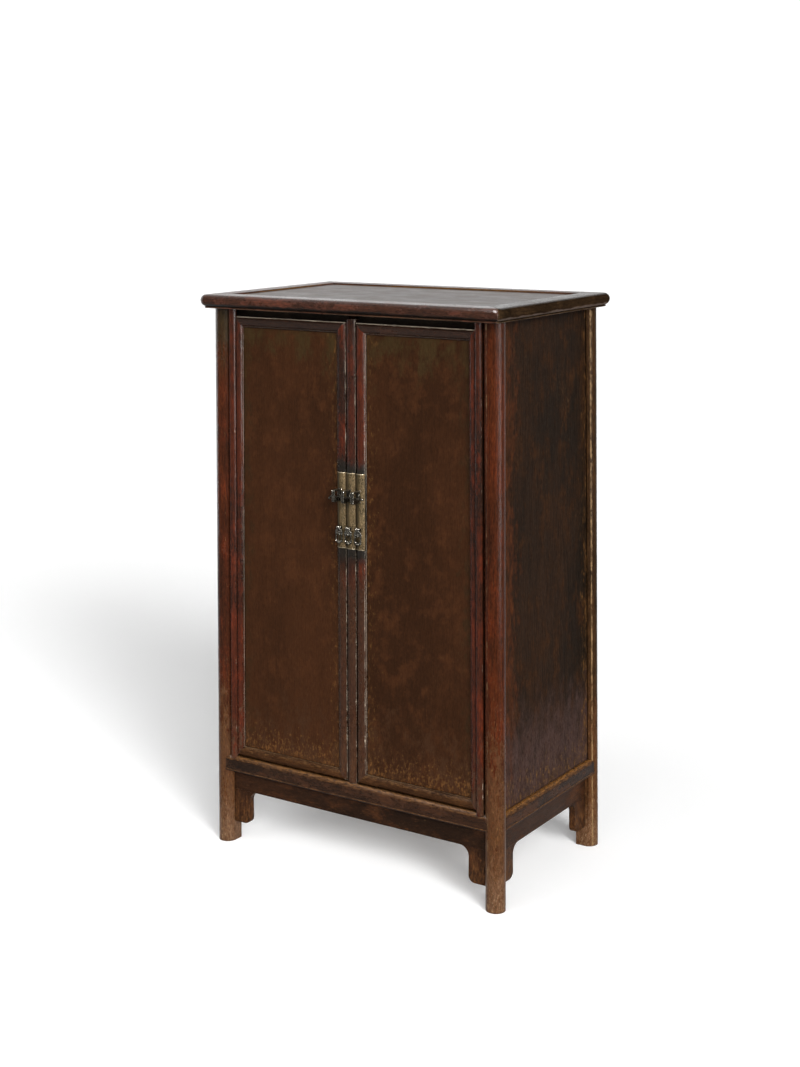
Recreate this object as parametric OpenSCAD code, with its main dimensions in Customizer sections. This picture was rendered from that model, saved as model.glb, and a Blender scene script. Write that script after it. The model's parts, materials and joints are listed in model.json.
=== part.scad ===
// A small wood-hinged cabinet on four round posts that splay outwards towards the floor.
// Lengths are in millimetres. X runs to the right, Y to the back and Z up.
// The origin is on the floor, in the middle of the footprint.
// The front, the sides and the back each lean with their posts, so their pieces are drawn in
// a leaning plane, where "forward" is measured outwards from the post centres.

/* [Whole] */
// Height from the floor to the top
total_h = 1000; // [850:10:1150]
// Width of the top, side to side
top_w = 600; // [540:5:720]
// Depth of the top, front to back
top_d = 385; // [350:5:460]

/* [Top frame] */
// Thickness of the frame round the top
top_t = 23; // [22:0.5:27]
// Width of each frame member
top_member_w = 42; // [40:1:52]
// Radius of the corners, seen from above
top_corner_r = 14; // [13:1:20]
// Height of the thin lip below the rounded edge
lip_h = 3; // [2:0.5:4]
// How far the lip stands back from the rounded edge
lip_setback = 6.5; // [5:0.5:8]
// Thickness of the panel inside the frame
top_panel_t = 10; // [8:0.5:11]
// How far the panel lies below the frame's top face
top_panel_recess = 3; // [1:0.5:4]
// Width of each brace under the panel
top_brace_w = 30; // [20:1:40]
// Distance of each brace from the middle
top_brace_x = 110; // [80:5:140]

/* [Posts] */
// Diameter of the posts
post_d = 34; // [32:0.5:38]
// How far the top overhangs the posts at each side
overhang_side = 13.5; // [10:0.5:20]
// How far the top overhangs the posts at front and back
overhang_front = 21; // [18:0.5:26]
// How far each foot spreads sideways from the post's upper end
splay_x = 16.4; // [8:0.2:24]
// How far each foot spreads forwards or backwards
splay_y = 13.9; // [8:0.1:20]
// Side of the square tenon on each post's upper end
post_tenon_w = 12; // [8:0.5:14]

/* [Bottom rails] */
// Height of the rails' lower edge above the floor
rail_z = 140; // [120:1:170]
// Height of the rails
rail_h = 28; // [26:0.5:34]
// Radius of the rails' rounded upper outer edge
rail_edge_r = 9; // [5:0.5:12]
// Diameter of the bead along the rails' lower outer edge
rail_bead_d = 3; // [2:0.2:4]
// How far the rails' outer face lies inside the posts' outer face
rail_inset = 0.6; // [0.4:0.1:1.5]
// Length of the tenons that enter the posts
tenon_l = 14; // [8:0.5:15]
// Thickness of the tenons
tenon_t = 8; // [6:0.5:9]
// Height of the tenons
tenon_h = 9; // [7:0.5:9.5]

/* [Panels] */
// Thickness of the side and back panels
panel_t = 8; // [6:0.5:9]
// Outer face of the side panels, outwards from the post centres
side_panel_v = 6; // [4:0.5:7]
// Outer face of the back panels, outwards from the post centres
back_panel_v = 4; // [3:0.5:6]
// Depth of the grooves that hold the panels
groove_depth = 5.5; // [4:0.5:6]
// Thickness of the floor
floor_t = 10; // [8:0.5:12]
// How far the floor lies below the rails' upper face
floor_drop = 4; // [2:0.5:5]
// Width of each brace under the floor
floor_brace_w = 26; // [18:1:40]
// Distance of each floor brace from the middle
floor_brace_x = 100; // [60:5:150]
// Width of the upright between the back panels
back_stile_w = 36; // [28:1:50]
// Thickness of the upright between the back panels
back_stile_t = 16; // [14:0.5:20]

/* [Shelves] */
// Thickness of the shelves
shelf_t = 12; // [9:0.5:16]
// Height of the lower shelf's upper face above the floor
lower_shelf_rise = 250; // [180:5:270]
// Height of the upper shelf's upper face above the floor
upper_shelf_rise = 520; // [420:5:560]
// Thickness of the battens that carry the shelves
batten_t = 12; // [8:0.5:14]
// Height of the battens that carry the shelves
batten_h = 18; // [12:1:24]

/* [Aprons and spandrels] */
// Height of the front and back aprons' lower edge
apron_z_front = 101; // [95:1:110]
// Height of the side aprons' lower edge
apron_z_side = 96; // [90:1:110]
// Thickness of the aprons and spandrels
apron_t = 12; // [8:0.5:15]
// Outer face of the aprons, outwards from the post centres
apron_v = 1.5; // [0:0.5:6]
// Reach of the front spandrels from the post centres
spandrel_reach_front = 52; // [44:1:64]
// Reach of the back spandrels from the post centres
spandrel_reach_back = 30; // [30:1:64]
// Reach of the side spandrels from the post centres
spandrel_reach_side = 56; // [42:0.5:60]
// Height of the spandrels' lower end above the floor
spandrel_z = 38; // [28:1:46]
// Radius of the hollow between apron and spandrel
spandrel_hollow_r = 18; // [10:1:24]
// Radius of the spandrels' lower corner
spandrel_corner_r = 12; // [6:1:15]

/* [Doors] */
// Gap between the rail and the doors' lower edge
door_bottom_gap = 1.5; // [1:0.1:3]
// Gap between the top and the doors' upper edge
door_top_gap = 13.5; // [11:0.5:20]
// Thickness of the strip under the top that the doors close against
stop_t = 7; // [5:0.5:9]
// Height that the doors lap over the strip
stop_lap = 6; // [3:0.5:10]
// Height of the doors' upper and lower rails
door_rail_h = 18.5; // [16:0.5:24]
// Width of the stile at the free edge of each door
meeting_w = 18.5; // [16:0.5:24]
// Reach of the hinge stile inwards from the hinge axis
hinge_stile_reach = 20.4; // [19:0.1:26]
// Front of the doors' frames, forward of the post centres
door_crown_v = 11; // [10:0.5:13]
// Back of the doors' frames, behind the post centres
door_back_v = 6; // [5:0.5:8]
// Fall of the frames' rounded faces from their middle to their edges
face_fall = 5; // [2:0.1:5.5]
// Width of the small bead along the frames' inner edges
face_bead_w = 2; // [1.4:0.1:3]
// Thickness of the door panels
door_panel_t = 5; // [4:0.5:6]
// Front of the door panels, forward of the post centres
door_panel_v = 3.5; // [3:0.5:4]
// Depth of the grooves that hold the door panels
door_groove = 4; // [3:0.5:5]
// Height of the battens across the back of each door panel
door_batten_h = 26; // [18:1:36]
// Distance of the outer battens from the door's ends
door_batten_inset = 150; // [100:5:200]

/* [Wooden hinges] */
// Diameter of the round pivot along each hinge stile
pivot_d = 14.6; // [12:0.2:16]
// Distance of the hinge axis from the post centre, inwards
hinge_u = 23.4; // [23:0.1:26]
// Distance of the hinge axis from the post centre, forwards
hinge_v = 8; // [6:0.5:9]
// Diameter of the pins at the pivot's ends
pin_d = 9; // [7:0.5:11]
// Length of the pins
pin_l = 8; // [5:0.5:9]
// Depth that the pivot sinks into the bottom rail
pivot_sink = 4.5; // [3:0.5:7]
// Radial clearance between pin and socket
pin_clearance = 0.05; // [0.02:0.01:0.1]

/* [Centre stile] */
// Width of the loose stile between the doors
centre_w = 18; // [16:0.5:24]
// Gap between the centre stile and each door
centre_gap = 2; // [1:0.1:3]
// Front of the centre stile, forward of the post centres
centre_crown_v = 11.5; // [11:0.5:14]
// Height that the centre stile lifts
centre_lift = 5.5; // [4:0.5:6]
// Length of its lower tenon
centre_tenon_l = 4.5; // [3:0.5:5]
// Width of its tenons
centre_tenon_w = 11; // [8:0.5:14]
// Thickness of its tenons
centre_tenon_t = 7; // [5:0.5:9]

/* [Metal fittings] */
// Height of the plates' middle above the doors' lower edge
plate_rise = 479; // [420:5:520]
// Height of the plates
plate_h = 130; // [110:1:160]
// Thickness of the plates
plate_t = 1.1; // [0.8:0.1:1.6]
// Height of each lock lug
lug_h = 21; // [18:0.5:24]
// Thickness of each lock lug
lug_t = 5; // [3:0.1:6]
// Reach of the lugs, forward of the post centres
lug_tip_v = 33; // [30:0.5:34]
// Height of the lugs' middle above the plates' middle
lug_rise = 27; // [20:1:34]
// Height of the opening through each lug
lug_slot_h = 11; // [9:0.5:12]
// Depth of the opening through each lug, front to back
lug_slot_d = 13; // [10:0.5:14]
// Thickness of the bar at the front of each lug
lug_bar = 3.6; // [3:0.1:4.5]
// Thickness of the lug above its opening
lug_arm = 2.6; // [2:0.1:3.5]
// Distance of the pulls' pins below the plates' middle
pull_drop = 29; // [12:0.5:32]
// Distance of the pulls' pins in front of the plates
pull_stand = 4; // [3.8:0.1:6]
// Diameter of the pulls' pins
pull_pin_d = 2.4; // [2:0.1:3]
// Width of the pulls' eyes
pull_eye_w = 4.8; // [4:0.1:5.4]
// Width of the pulls' loops
pull_w = 14.5; // [12:0.5:16]
// Height of the pulls' loops
pull_h = 21; // [18:0.5:28]
// Thickness of the pulls
pull_t = 3; // [2.4:0.1:3.4]
// Radius of the ball at each pull's lower end
pull_ball_r = 3; // [2.4:0.1:3.4]

/* [Clearances] */
// Play round tenons and coped ends
fit = 0.1; // [0.05:0.05:0.2]
// Play round panels in their grooves
panel_play = 0.3; // [0.15:0.05:0.4]

/* [Hidden] */
$fn = 96;

dark_lacquer = [0.20, 0.12, 0.08];
red_lacquer = [0.29, 0.14, 0.09];
worn_wood = [0.45, 0.28, 0.14];
raw_wood = [0.50, 0.38, 0.26];
aged_brass = [0.42, 0.37, 0.26];
dark_metal = [0.22, 0.21, 0.19];

big = 2 * (total_h + top_w);
// How far the parts of one piece run into each other, and how far a cut runs past a face
root = 1;
post_r = post_d / 2;
under_z = total_h - top_t;
hx_top = top_w / 2 - overhang_side - post_r;
hy_top = top_d / 2 - overhang_front - post_r;
hx_foot = hx_top + splay_x;
hy_foot = hy_top + splay_y;
// Lean of the side planes and of the front plane
lean_x = atan(splay_x / under_z);
lean_y = atan(splay_y / under_z);
// Lean of a post's centre line, measured within the front plane and within a side plane
tilt_x = atan(splay_x * cos(lean_y) / under_z);
tilt_y = atan(splay_y * cos(lean_x) / under_z);
post_turn = -asin(splay_y / sqrt(pow(under_z, 2) + pow(splay_x, 2) + pow(splay_y, 2)));

// Half the distance between post centres, at a height above the floor
function hx_at(z) = hx_foot - splay_x * z / under_z;
function hy_at(z) = hy_foot - splay_y * z / under_z;
// The same, along the front plane and along a side plane
function hx_f(z) = hx_foot - z * tan(tilt_x);
function hy_s(z) = hy_foot - z * tan(tilt_y);
// Where the underside of the top lies along the front plane, at a distance forward
function under_f(v) = (under_z - v * sin(lean_y)) / cos(lean_y);

rail_top = rail_z + rail_h;
rail_front_v = post_r - rail_inset;
rail_bead_relief = rail_bead_d / 4;
// The coped ends stop here, before their edges thin out to nothing
cope_u = 0.35 * post_r;
// The rails' tenons lie one above the other, so that both enter a post
tenon_root = 3;
tenon_shoulder = 1.5;
tenon_setback = 2;
tenon_v = -tenon_t / 2 - tenon_setback;
low_tenon_z = rail_z + tenon_shoulder;
high_tenon_z = low_tenon_z + tenon_h + tenon_shoulder;
groove_tip_u = post_r - groove_depth;
post_tenon_cover = 2;
post_tenon_h = top_t - top_panel_recess - top_panel_t - post_tenon_cover;

floor_top = rail_top - floor_drop;
floor_brace_gap = 2;
shelf_setback = 3;
shelf_front_v = -door_back_v - shelf_setback;
stop_gap = 1;
stop_back_v = -door_back_v - stop_gap;
back_tenon_cheek = 1;

door_z0 = rail_top + door_bottom_gap;
door_z1 = under_z - door_top_gap;
meet_x0 = centre_w / 2 + centre_gap;
meet_x1 = meet_x0 + meeting_w;
pivot_r = pivot_d / 2;
pin_r = pin_d / 2;
// Level of the square shoulder beside the rounded face, where the inner bead sits
shoulder_v = door_crown_v - face_fall - face_bead_w / 2;
meet_face_w = meeting_w - face_bead_w;
meet_face_r = face_radius(meet_face_w);
centre_face_r = face_radius(centre_w);
pivot_end_gap = 0.5;
socket_end_gap = 1;
pivot_low_z = rail_top - pivot_sink;
pivot_high_z = under_f(hinge_v) - pivot_end_gap;

centre_top_gap = 2.5;
centre_end_gap = 0.5;
// The upper mortise ends below the groove of the top's panel
centre_high_tenon_l = top_t - top_panel_recess - top_panel_t - centre_lift - 2 * centre_end_gap;
centre_edge_h = 1;
// Clear of the tenons' sides by enough for the stile to slide
centre_play = 3 * fit;
centre_z0 = rail_top + fit;
centre_z1 = under_z - centre_lift - centre_top_gap;
centre_tenon_v = (centre_crown_v - face_fall - door_back_v) / 2;

plate_z = door_z0 + plate_rise;
seat = 0.05;
lug_z = plate_z + lug_rise - lug_h / 2;
// Least metal between a plate and the opening through its lug
lug_foot = 1.5;
lug_round_r = lug_bar - 0.6;
pull_z = plate_z - pull_drop;
pull_eye_wall = 1.5;
pull_eye_r = pull_pin_d / 2 + pull_eye_wall;
pull_neck = 1;
pull_cheek_t = 1.5;
pull_cheek_gap = 0.25;

// Radius of an arc that falls by face_fall over half of a face's width
function face_radius(w) = (pow(w / 2, 2) + pow(face_fall, 2)) / (2 * face_fall);
// Hinge axis of the right door, at a height along the front plane
function hinge_x(z) = hx_f(z) - hinge_u;

// Planes and helpers
module front_plane() {
    translate([0, -hy_foot, 0]) rotate([-lean_y, 0, 0]) children();
}
module back_plane() {
    mirror([0, 1, 0]) front_plane() children();
}
module right_plane() {
    translate([hx_foot, 0, 0]) rotate([0, -lean_x, 0]) children();
}
// A hand of -1 is the left one: the right one, mirrored
module handed(hand) {
    if (hand > 0) children();
    else mirror([1, 0, 0]) children();
}
module turned_back(back) {
    if (back) mirror([0, 1, 0]) children();
    else children();
}
// A flat outline in the front plane's X and Z, from v0 to v1 forward
module front_slab(v0, v1) {
    translate([0, -v0, 0]) rotate([90, 0, 0]) linear_extrude(v1 - v0) children();
}
// A flat outline in a side plane's Y and Z, from v0 to v1 outward
module side_slab(v0, v1) {
    translate([v0, 0, 0]) rotate([90, 0, 90]) linear_extrude(v1 - v0) children();
}
// A section whose X is forward and whose Y is up, drawn out along X
module along_x(len) {
    rotate([90, 0, -90]) linear_extrude(len, center = true) children();
}
// A section whose X is outward and whose Y is up, drawn out along Y
module along_y(len) {
    rotate([90, 0, 0]) linear_extrude(len, center = true) children();
}
module below(z) {
    translate([-big / 2, -big / 2, z - big]) cube(big);
}
module above(z) {
    translate([-big / 2, -big / 2, z]) cube(big);
}

// Posts: round outside, square towards the cabinet's inside
module post_section(extra) {
    r = post_r + extra;
    circle(r);
    translate([-r, 0]) square(r);
}
module front_right_column(extra) {
    translate([hx_foot, -hy_foot, 0])
        rotate([post_turn, -lean_x, 0])
            translate([0, 0, -post_d])
                linear_extrude(total_h + post_d) post_section(extra);
}
module column(hand, back, extra) {
    handed(hand) turned_back(back) front_right_column(extra);
}
module columns(extra) {
    for (hand = [-1, 1]) {
        for (back = [false, true]) column(hand, back, extra);
    }
}
module post_top_tenon(hand, back, extra) {
    w = post_tenon_w + 2 * extra;
    handed(hand) turned_back(back)
        translate([hx_top - w / 2, -hy_top - w / 2, under_z - root])
            cube([w, w, post_tenon_h + root + extra]);
}
module post(hand, back) {
    color(red_lacquer) difference() {
        union() {
            intersection() {
                column(hand, back, 0);
                above(0);
                below(under_z);
            }
            post_top_tenon(hand, back, 0);
        }
        handed(hand) turned_back(back) {
            front_plane() rail_tenon_x(fit);
            right_plane() rail_tenon_y(fit);
        }
        handed(hand) side_panel_blank(panel_play);
        if (back) handed(hand) back_panel_blank(panel_play);
    }
}

// Bottom rails, coped round the posts and tenoned into them
module rail_section() {
    face_v = rail_front_v - rail_bead_relief;
    translate([-post_r, rail_z]) square([post_r + face_v - rail_edge_r, rail_h]);
    translate([-post_r, rail_z]) square([post_r + face_v, rail_h - rail_edge_r]);
    translate([face_v - rail_edge_r, rail_top - rail_edge_r]) circle(rail_edge_r);
    translate([rail_front_v - rail_bead_d / 2, rail_z + rail_bead_d / 2]) circle(d = rail_bead_d);
}
module rail_tenon_x(extra) {
    z = high_tenon_z;
    x0 = hx_f(z) - post_r - tenon_root;
    translate([x0, -tenon_v - tenon_t - extra, z - extra])
        cube([tenon_l + tenon_root + extra, tenon_t + 2 * extra, tenon_h + 2 * extra]);
}
module rail_tenon_y(extra) {
    z = low_tenon_z;
    y1 = -hy_s(z) + post_r + tenon_root;
    translate([tenon_v - extra, y1 - tenon_l - tenon_root - extra, z - extra])
        cube([tenon_t + 2 * extra, tenon_l + tenon_root + extra, tenon_h + 2 * extra]);
}
module front_rail_blank() {
    difference() {
        front_plane() along_x(2 * (hx_f(rail_top) - cope_u)) rail_section();
        for (hand = [-1, 1]) column(hand, false, fit);
    }
    for (hand = [-1, 1]) handed(hand) front_plane() rail_tenon_x(0);
}
module front_rail() {
    color(worn_wood) difference() {
        front_rail_blank();
        floor_blank(panel_play);
        for (hand = [-1, 1]) handed(hand) rail_socket();
        centre_low_mortise();
    }
}
module back_rail() {
    color(dark_lacquer) difference() {
        mirror([0, 1, 0]) front_rail_blank();
        floor_blank(panel_play);
        for (hand = [-1, 1]) handed(hand) back_panel_blank(panel_play);
        back_stile_tenon(fit);
    }
}
module side_rail(hand) {
    color(worn_wood) handed(hand) difference() {
        union() {
            difference() {
                right_plane() along_y(2 * (hy_s(rail_top) - cope_u)) rail_section();
                for (back = [false, true]) column(1, back, fit);
            }
            for (back = [false, true]) turned_back(back) right_plane() rail_tenon_y(0);
        }
        floor_blank(panel_play);
        side_panel_blank(panel_play);
    }
}

// The top: a mitred frame with a rounded edge, a lip and a sunk panel.
// X is outward from the line of the corners' centres, Y is up.
module top_edge_section(inner) {
    bull_r = (top_t - lip_h) / 2;
    bull_x = top_corner_r - bull_r;
    lip_x = top_corner_r - lip_setback - lip_h / 2;
    translate([-inner, lip_h]) square([inner + bull_x, 2 * bull_r]);
    translate([-inner, 0]) square([inner + lip_x, lip_h + root]);
    translate([lip_x, lip_h / 2]) circle(d = lip_h);
    intersection() {
        translate([bull_x, lip_h + bull_r]) circle(bull_r);
        square([top_corner_r, top_t]);
    }
}
// One member, drawn with its outer edge towards +Y and cut to its mitres
module top_member_blank(len, across) {
    inner = top_member_w - top_corner_r;
    outer = top_corner_r + root;
    run = len - 2 * top_corner_r;
    translate([0, across / 2 - top_corner_r, under_z]) intersection() {
        union() {
            rotate([90, 0, 90]) linear_extrude(run, center = true) top_edge_section(inner);
            for (side = [-1, 1])
                translate([side * run / 2, 0, 0]) rotate_extrude() top_edge_section(0);
        }
        translate([0, 0, -root]) linear_extrude(top_t + 2 * root) polygon([
            [-run / 2 - outer, outer], [run / 2 + outer, outer],
            [run / 2 - inner, -inner], [-run / 2 + inner, -inner]
        ]);
    }
}
module top_panel_tongue(extra) {
    w = top_w - 2 * top_member_w + 2 * groove_depth + 2 * extra;
    d = top_d - 2 * top_member_w + 2 * groove_depth + 2 * extra;
    translate([-w / 2, -d / 2, total_h - top_panel_recess - top_panel_t - extra])
        cube([w, d, top_panel_t / 2 + 2 * extra]);
}
module top_member_cuts() {
    top_panel_tongue(fit);
    for (hand = [-1, 1]) {
        for (back = [false, true]) post_top_tenon(hand, back, fit);
    }
}
module top_front_member() {
    color(red_lacquer) difference() {
        rotate([0, 0, 180]) top_member_blank(top_w, top_d);
        top_member_cuts();
        for (hand = [-1, 1]) handed(hand) top_socket();
        centre_high_mortise();
    }
}
module top_back_member() {
    color(dark_lacquer) difference() {
        top_member_blank(top_w, top_d);
        top_member_cuts();
    }
}
module top_side_member(hand) {
    color(dark_lacquer) difference() {
        rotate([0, 0, -90 * hand]) top_member_blank(top_d, top_w);
        top_member_cuts();
    }
}
module top_panel() {
    w = top_w - 2 * top_member_w - 2 * fit;
    d = top_d - 2 * top_member_w - 2 * fit;
    color(dark_lacquer) {
        translate([-w / 2, -d / 2, total_h - top_panel_recess - top_panel_t])
            cube([w, d, top_panel_t]);
        top_panel_tongue(0);
    }
}
module top_braces() {
    h = top_t - top_panel_recess - top_panel_t;
    d = top_d - 2 * top_member_w - 2 * fit;
    color(raw_wood)
        for (side = [-1, 1])
            translate([side * top_brace_x - top_brace_w / 2, -d / 2, under_z])
                cube([top_brace_w, d, h]);
}
// The strip stops the doors and closes the gap above them
module door_stop_strip() {
    z0 = door_z1 - stop_lap;
    color(dark_lacquer) difference() {
        front_plane() front_slab(stop_back_v - stop_t, stop_back_v)
            translate([-hx_top, z0]) square([2 * hx_top, under_z + top_t - z0]);
        above(under_z);
        for (hand = [-1, 1]) column(hand, false, fit);
    }
}

// Side and back panels
module side_panel_blank(extra) {
    z0 = rail_top - groove_depth - extra;
    z1 = total_h;
    y0 = hy_s(z0) - groove_tip_u + extra;
    y1 = hy_s(z1) - groove_tip_u + extra;
    right_plane() side_slab(side_panel_v - panel_t - extra, side_panel_v + extra)
        polygon([[-y0, z0], [y0, z0], [y1, z1], [-y1, z1]]);
}
module side_panel(hand) {
    color(dark_lacquer) intersection() {
        handed(hand) side_panel_blank(0);
        below(under_z - fit);
    }
}
module back_panel_blank(extra) {
    z0 = rail_top - groove_depth - extra;
    z1 = total_h;
    x_mid = back_stile_w / 2 - groove_depth - extra;
    back_plane() front_slab(back_panel_v - panel_t - extra, back_panel_v + extra)
        polygon([
            [x_mid, z0], [hx_f(z0) - groove_tip_u + extra, z0],
            [hx_f(z1) - groove_tip_u + extra, z1], [x_mid, z1]
        ]);
}
module back_panel(hand) {
    color(raw_wood) intersection() {
        handed(hand) back_panel_blank(0);
        below(under_z - fit);
    }
}
module back_stile_tenon(extra) {
    w = back_stile_w / 2;
    v1 = back_panel_v - back_tenon_cheek;
    v0 = back_panel_v - panel_t + back_tenon_cheek;
    back_plane() front_slab(v0 - extra, v1 + extra)
        translate([-w / 2 - extra, rail_top - groove_depth - extra])
            square([w + 2 * extra, groove_depth + root + extra]);
}
module back_stile() {
    mid_v = back_panel_v - panel_t / 2;
    color(raw_wood) difference() {
        union() {
            intersection() {
                back_plane() front_slab(mid_v - back_stile_t / 2, mid_v + back_stile_t / 2)
                    translate([-back_stile_w / 2, rail_top])
                        square([back_stile_w, total_h - rail_top]);
                below(under_z - fit);
            }
            back_stile_tenon(0);
        }
        for (hand = [-1, 1]) handed(hand) back_stile_groove();
    }
}
// The groove for a back panel, above the tenon's shoulder
module back_stile_groove() {
    x0 = back_stile_w / 2 - groove_depth - panel_play;
    back_plane() front_slab(back_panel_v - panel_t - panel_play, back_panel_v + panel_play)
        translate([x0, rail_top - groove_depth - root])
            square([groove_depth + root, total_h]);
}

// Floor, shelves and what carries them
module floor_blank(extra) {
    w = hx_at(floor_top) - post_r + groove_depth + extra;
    d = hy_at(floor_top) - post_r + groove_depth + extra;
    translate([-w, -d, floor_top - floor_t - extra]) cube([2 * w, 2 * d, floor_t + 2 * extra]);
}
module floor_panel() {
    color(raw_wood) difference() {
        floor_blank(0);
        columns(panel_play);
    }
}
module floor_braces() {
    z0 = rail_z + floor_brace_gap;
    d = hy_at(floor_top) - post_r - panel_play;
    color(raw_wood)
        for (side = [-1, 1])
            translate([side * floor_brace_x - floor_brace_w / 2, -d, z0])
                cube([floor_brace_w, 2 * d, floor_top - floor_t - z0]);
}
module shelf(rise) {
    z = floor_top + rise;
    w = hx_at(z) + side_panel_v - panel_t - panel_play;
    y0 = -hy_at(z - shelf_t) - shelf_front_v;
    stile_back = max(panel_t, panel_t / 2 + back_stile_t / 2);
    y1 = hy_at(z) + back_panel_v - stile_back - panel_play;
    color(raw_wood) difference() {
        translate([-w, y0, z - shelf_t]) cube([2 * w, y1 - y0, shelf_t]);
        columns(panel_play);
    }
}
module shelf_batten(rise) {
    z = floor_top + rise - shelf_t;
    inner_v = side_panel_v - panel_t;
    y = hy_s(z) - post_r - panel_play;
    intersection() {
        right_plane() side_slab(inner_v - batten_t, inner_v)
            translate([-y, z - batten_h]) square([2 * y, 2 * batten_h]);
        below(z);
    }
}
module shelf_battens() {
    color(raw_wood)
        for (hand = [-1, 1], rise = [lower_shelf_rise, upper_shelf_rise])
            handed(hand) shelf_batten(rise);
}

// Aprons and spandrels under the rails
module front_apron_blank() {
    x = hx_f(rail_z) - cope_u;
    difference() {
        front_plane() front_slab(apron_v - apron_t, apron_v)
            translate([-x, apron_z_front]) square([2 * x, rail_z - apron_z_front]);
        for (hand = [-1, 1]) column(hand, false, fit);
    }
}
module side_apron(hand) {
    y = hy_s(rail_z) - cope_u;
    color(dark_lacquer) handed(hand) difference() {
        right_plane() side_slab(apron_v - apron_t, apron_v)
            translate([-y, apron_z_side]) square([2 * y, rail_z - apron_z_side]);
        for (back = [false, true]) column(1, back, fit);
    }
}
// Outline of a spandrel: X is the distance from the post centre, Y the height
module spandrel_outline(reach, top_z) {
    r = spandrel_corner_r;
    h = spandrel_hollow_r;
    translate([cope_u, spandrel_z]) square([reach - r - cope_u, top_z - spandrel_z]);
    translate([cope_u, spandrel_z + r]) square([reach - cope_u, top_z - spandrel_z - r]);
    translate([reach - r, spandrel_z + r]) circle(r);
    difference() {
        translate([reach - root, top_z - h]) square([h + root, h]);
        translate([reach + h, top_z - h]) circle(h);
    }
}
module front_spandrel_pair(reach) {
    difference() {
        for (hand = [-1, 1])
            handed(hand) front_plane() front_slab(apron_v - apron_t, apron_v)
                translate([hx_f(spandrel_z), 0]) mirror([1, 0])
                    spandrel_outline(reach, apron_z_front);
        for (hand = [-1, 1]) column(hand, false, fit);
    }
}
module side_spandrel_pair(hand) {
    color(dark_lacquer) handed(hand) difference() {
        for (back = [false, true])
            turned_back(back) right_plane() side_slab(apron_v - apron_t, apron_v)
                translate([-hy_s(spandrel_z), 0])
                    spandrel_outline(spandrel_reach_side, apron_z_side);
        for (back = [false, true]) column(1, back, fit);
    }
}

// Doors, drawn as the right one. Each outline is in the front plane's X and Z.
module hinge_line() {
    translate([hinge_x(0), -hinge_v, 0]) rotate([0, -tilt_x, 0]) children();
}
function along_hinge(z) = z / cos(tilt_x);
module rail_socket() {
    front_plane() hinge_line() {
        z = along_hinge(pivot_low_z) - fit;
        translate([0, 0, z]) cylinder(h = rail_h, r = pivot_r + 2 * fit);
        translate([0, 0, z - pin_l - socket_end_gap])
            cylinder(h = pin_l + socket_end_gap + root, r = pin_r + pin_clearance);
    }
}
module top_socket() {
    front_plane() hinge_line()
        translate([0, 0, along_hinge(pivot_high_z) - root])
            cylinder(h = pin_l + socket_end_gap + root, r = pin_r + pin_clearance);
}
// Section of a door's frame: X runs from the outer edge inwards, Y is forward
module frame_section(w, bead) {
    face_w = w - bead;
    r = face_radius(face_w);
    translate([0, -door_back_v]) square([w, door_back_v + shoulder_v]);
    intersection() {
        translate([0, shoulder_v - root]) square([face_w, door_crown_v - shoulder_v + 2 * root]);
        translate([face_w / 2, door_crown_v - r]) circle(r);
    }
    if (bead > 0) translate([w - bead / 2, shoulder_v]) circle(d = bead);
}
// The outline within which a door's member is cut, mitred at its corners
module mitred(points) {
    intersection() {
        children();
        front_slab(-post_d, post_d) polygon(points);
    }
}
function stile_in(z) = hinge_x(z) - hinge_stile_reach;
function pivot_in(z) = hinge_x(z) - pivot_r;
module door_panel_blank(extra) {
    z0 = door_z0 + door_rail_h - door_groove - extra;
    z1 = door_z1 - door_rail_h + door_groove + extra;
    x0 = meet_x1 - door_groove - extra;
    g = door_groove + extra;
    front_plane() front_slab(door_panel_v - door_panel_t - extra, door_panel_v + extra)
        polygon([[x0, z0], [stile_in(z0) + g, z0], [stile_in(z1) + g, z1], [x0, z1]]);
}
module hinge_stile(hand) {
    za = door_z0 + door_rail_h;
    zb = door_z1 - door_rail_h;
    low = along_hinge(pivot_low_z);
    high = along_hinge(pivot_high_z);
    // The moulding starts inside the round pivot
    start = 0.8 * pivot_r;
    color(red_lacquer) handed(hand) difference() {
        front_plane() {
            hinge_line() {
                translate([0, 0, low]) cylinder(h = high - low, r = pivot_r);
                translate([0, 0, low - pin_l]) cylinder(h = high - low + 2 * pin_l, r = pin_r);
            }
            mitred([
                [hinge_x(door_z0), door_z0], [hinge_x(door_z1), door_z1],
                [pivot_in(door_z1), door_z1], [stile_in(zb), zb],
                [stile_in(za), za], [pivot_in(door_z0), door_z0]
            ]) hinge_line() translate([0, hinge_v, 0]) linear_extrude(total_h) {
                translate([-start, 0]) mirror([1, 0]) mirror([0, 1])
                    frame_section(hinge_stile_reach - start, face_bead_w);
                translate([-start - root, -hinge_v]) square([start + root, door_back_v + hinge_v]);
            }
        }
        door_panel_blank(fit);
    }
}
module meeting_stile(hand) {
    color(red_lacquer) handed(hand) difference() {
        front_plane() mitred([
            [meet_x0, door_z0], [meet_x0, door_z1], [meet_x1, door_z1 - door_rail_h],
            [meet_x1, door_z0 + door_rail_h]
        ])
            translate([meet_x0, 0, door_z0])
                linear_extrude(door_z1 - door_z0) mirror([0, 1])
                    frame_section(meeting_w, face_bead_w);
        door_panel_blank(fit);
    }
}
module door_top_rail(hand) {
    zb = door_z1 - door_rail_h;
    color(dark_lacquer) handed(hand) difference() {
        front_plane() mitred([
            [pivot_in(door_z1), door_z1], [meet_x0, door_z1], [meet_x1, zb], [stile_in(zb), zb]
        ])
            translate([0, 0, door_z1]) along_x(top_w) rotate(-90)
                frame_section(door_rail_h, face_bead_w);
        door_panel_blank(fit);
    }
}
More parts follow.
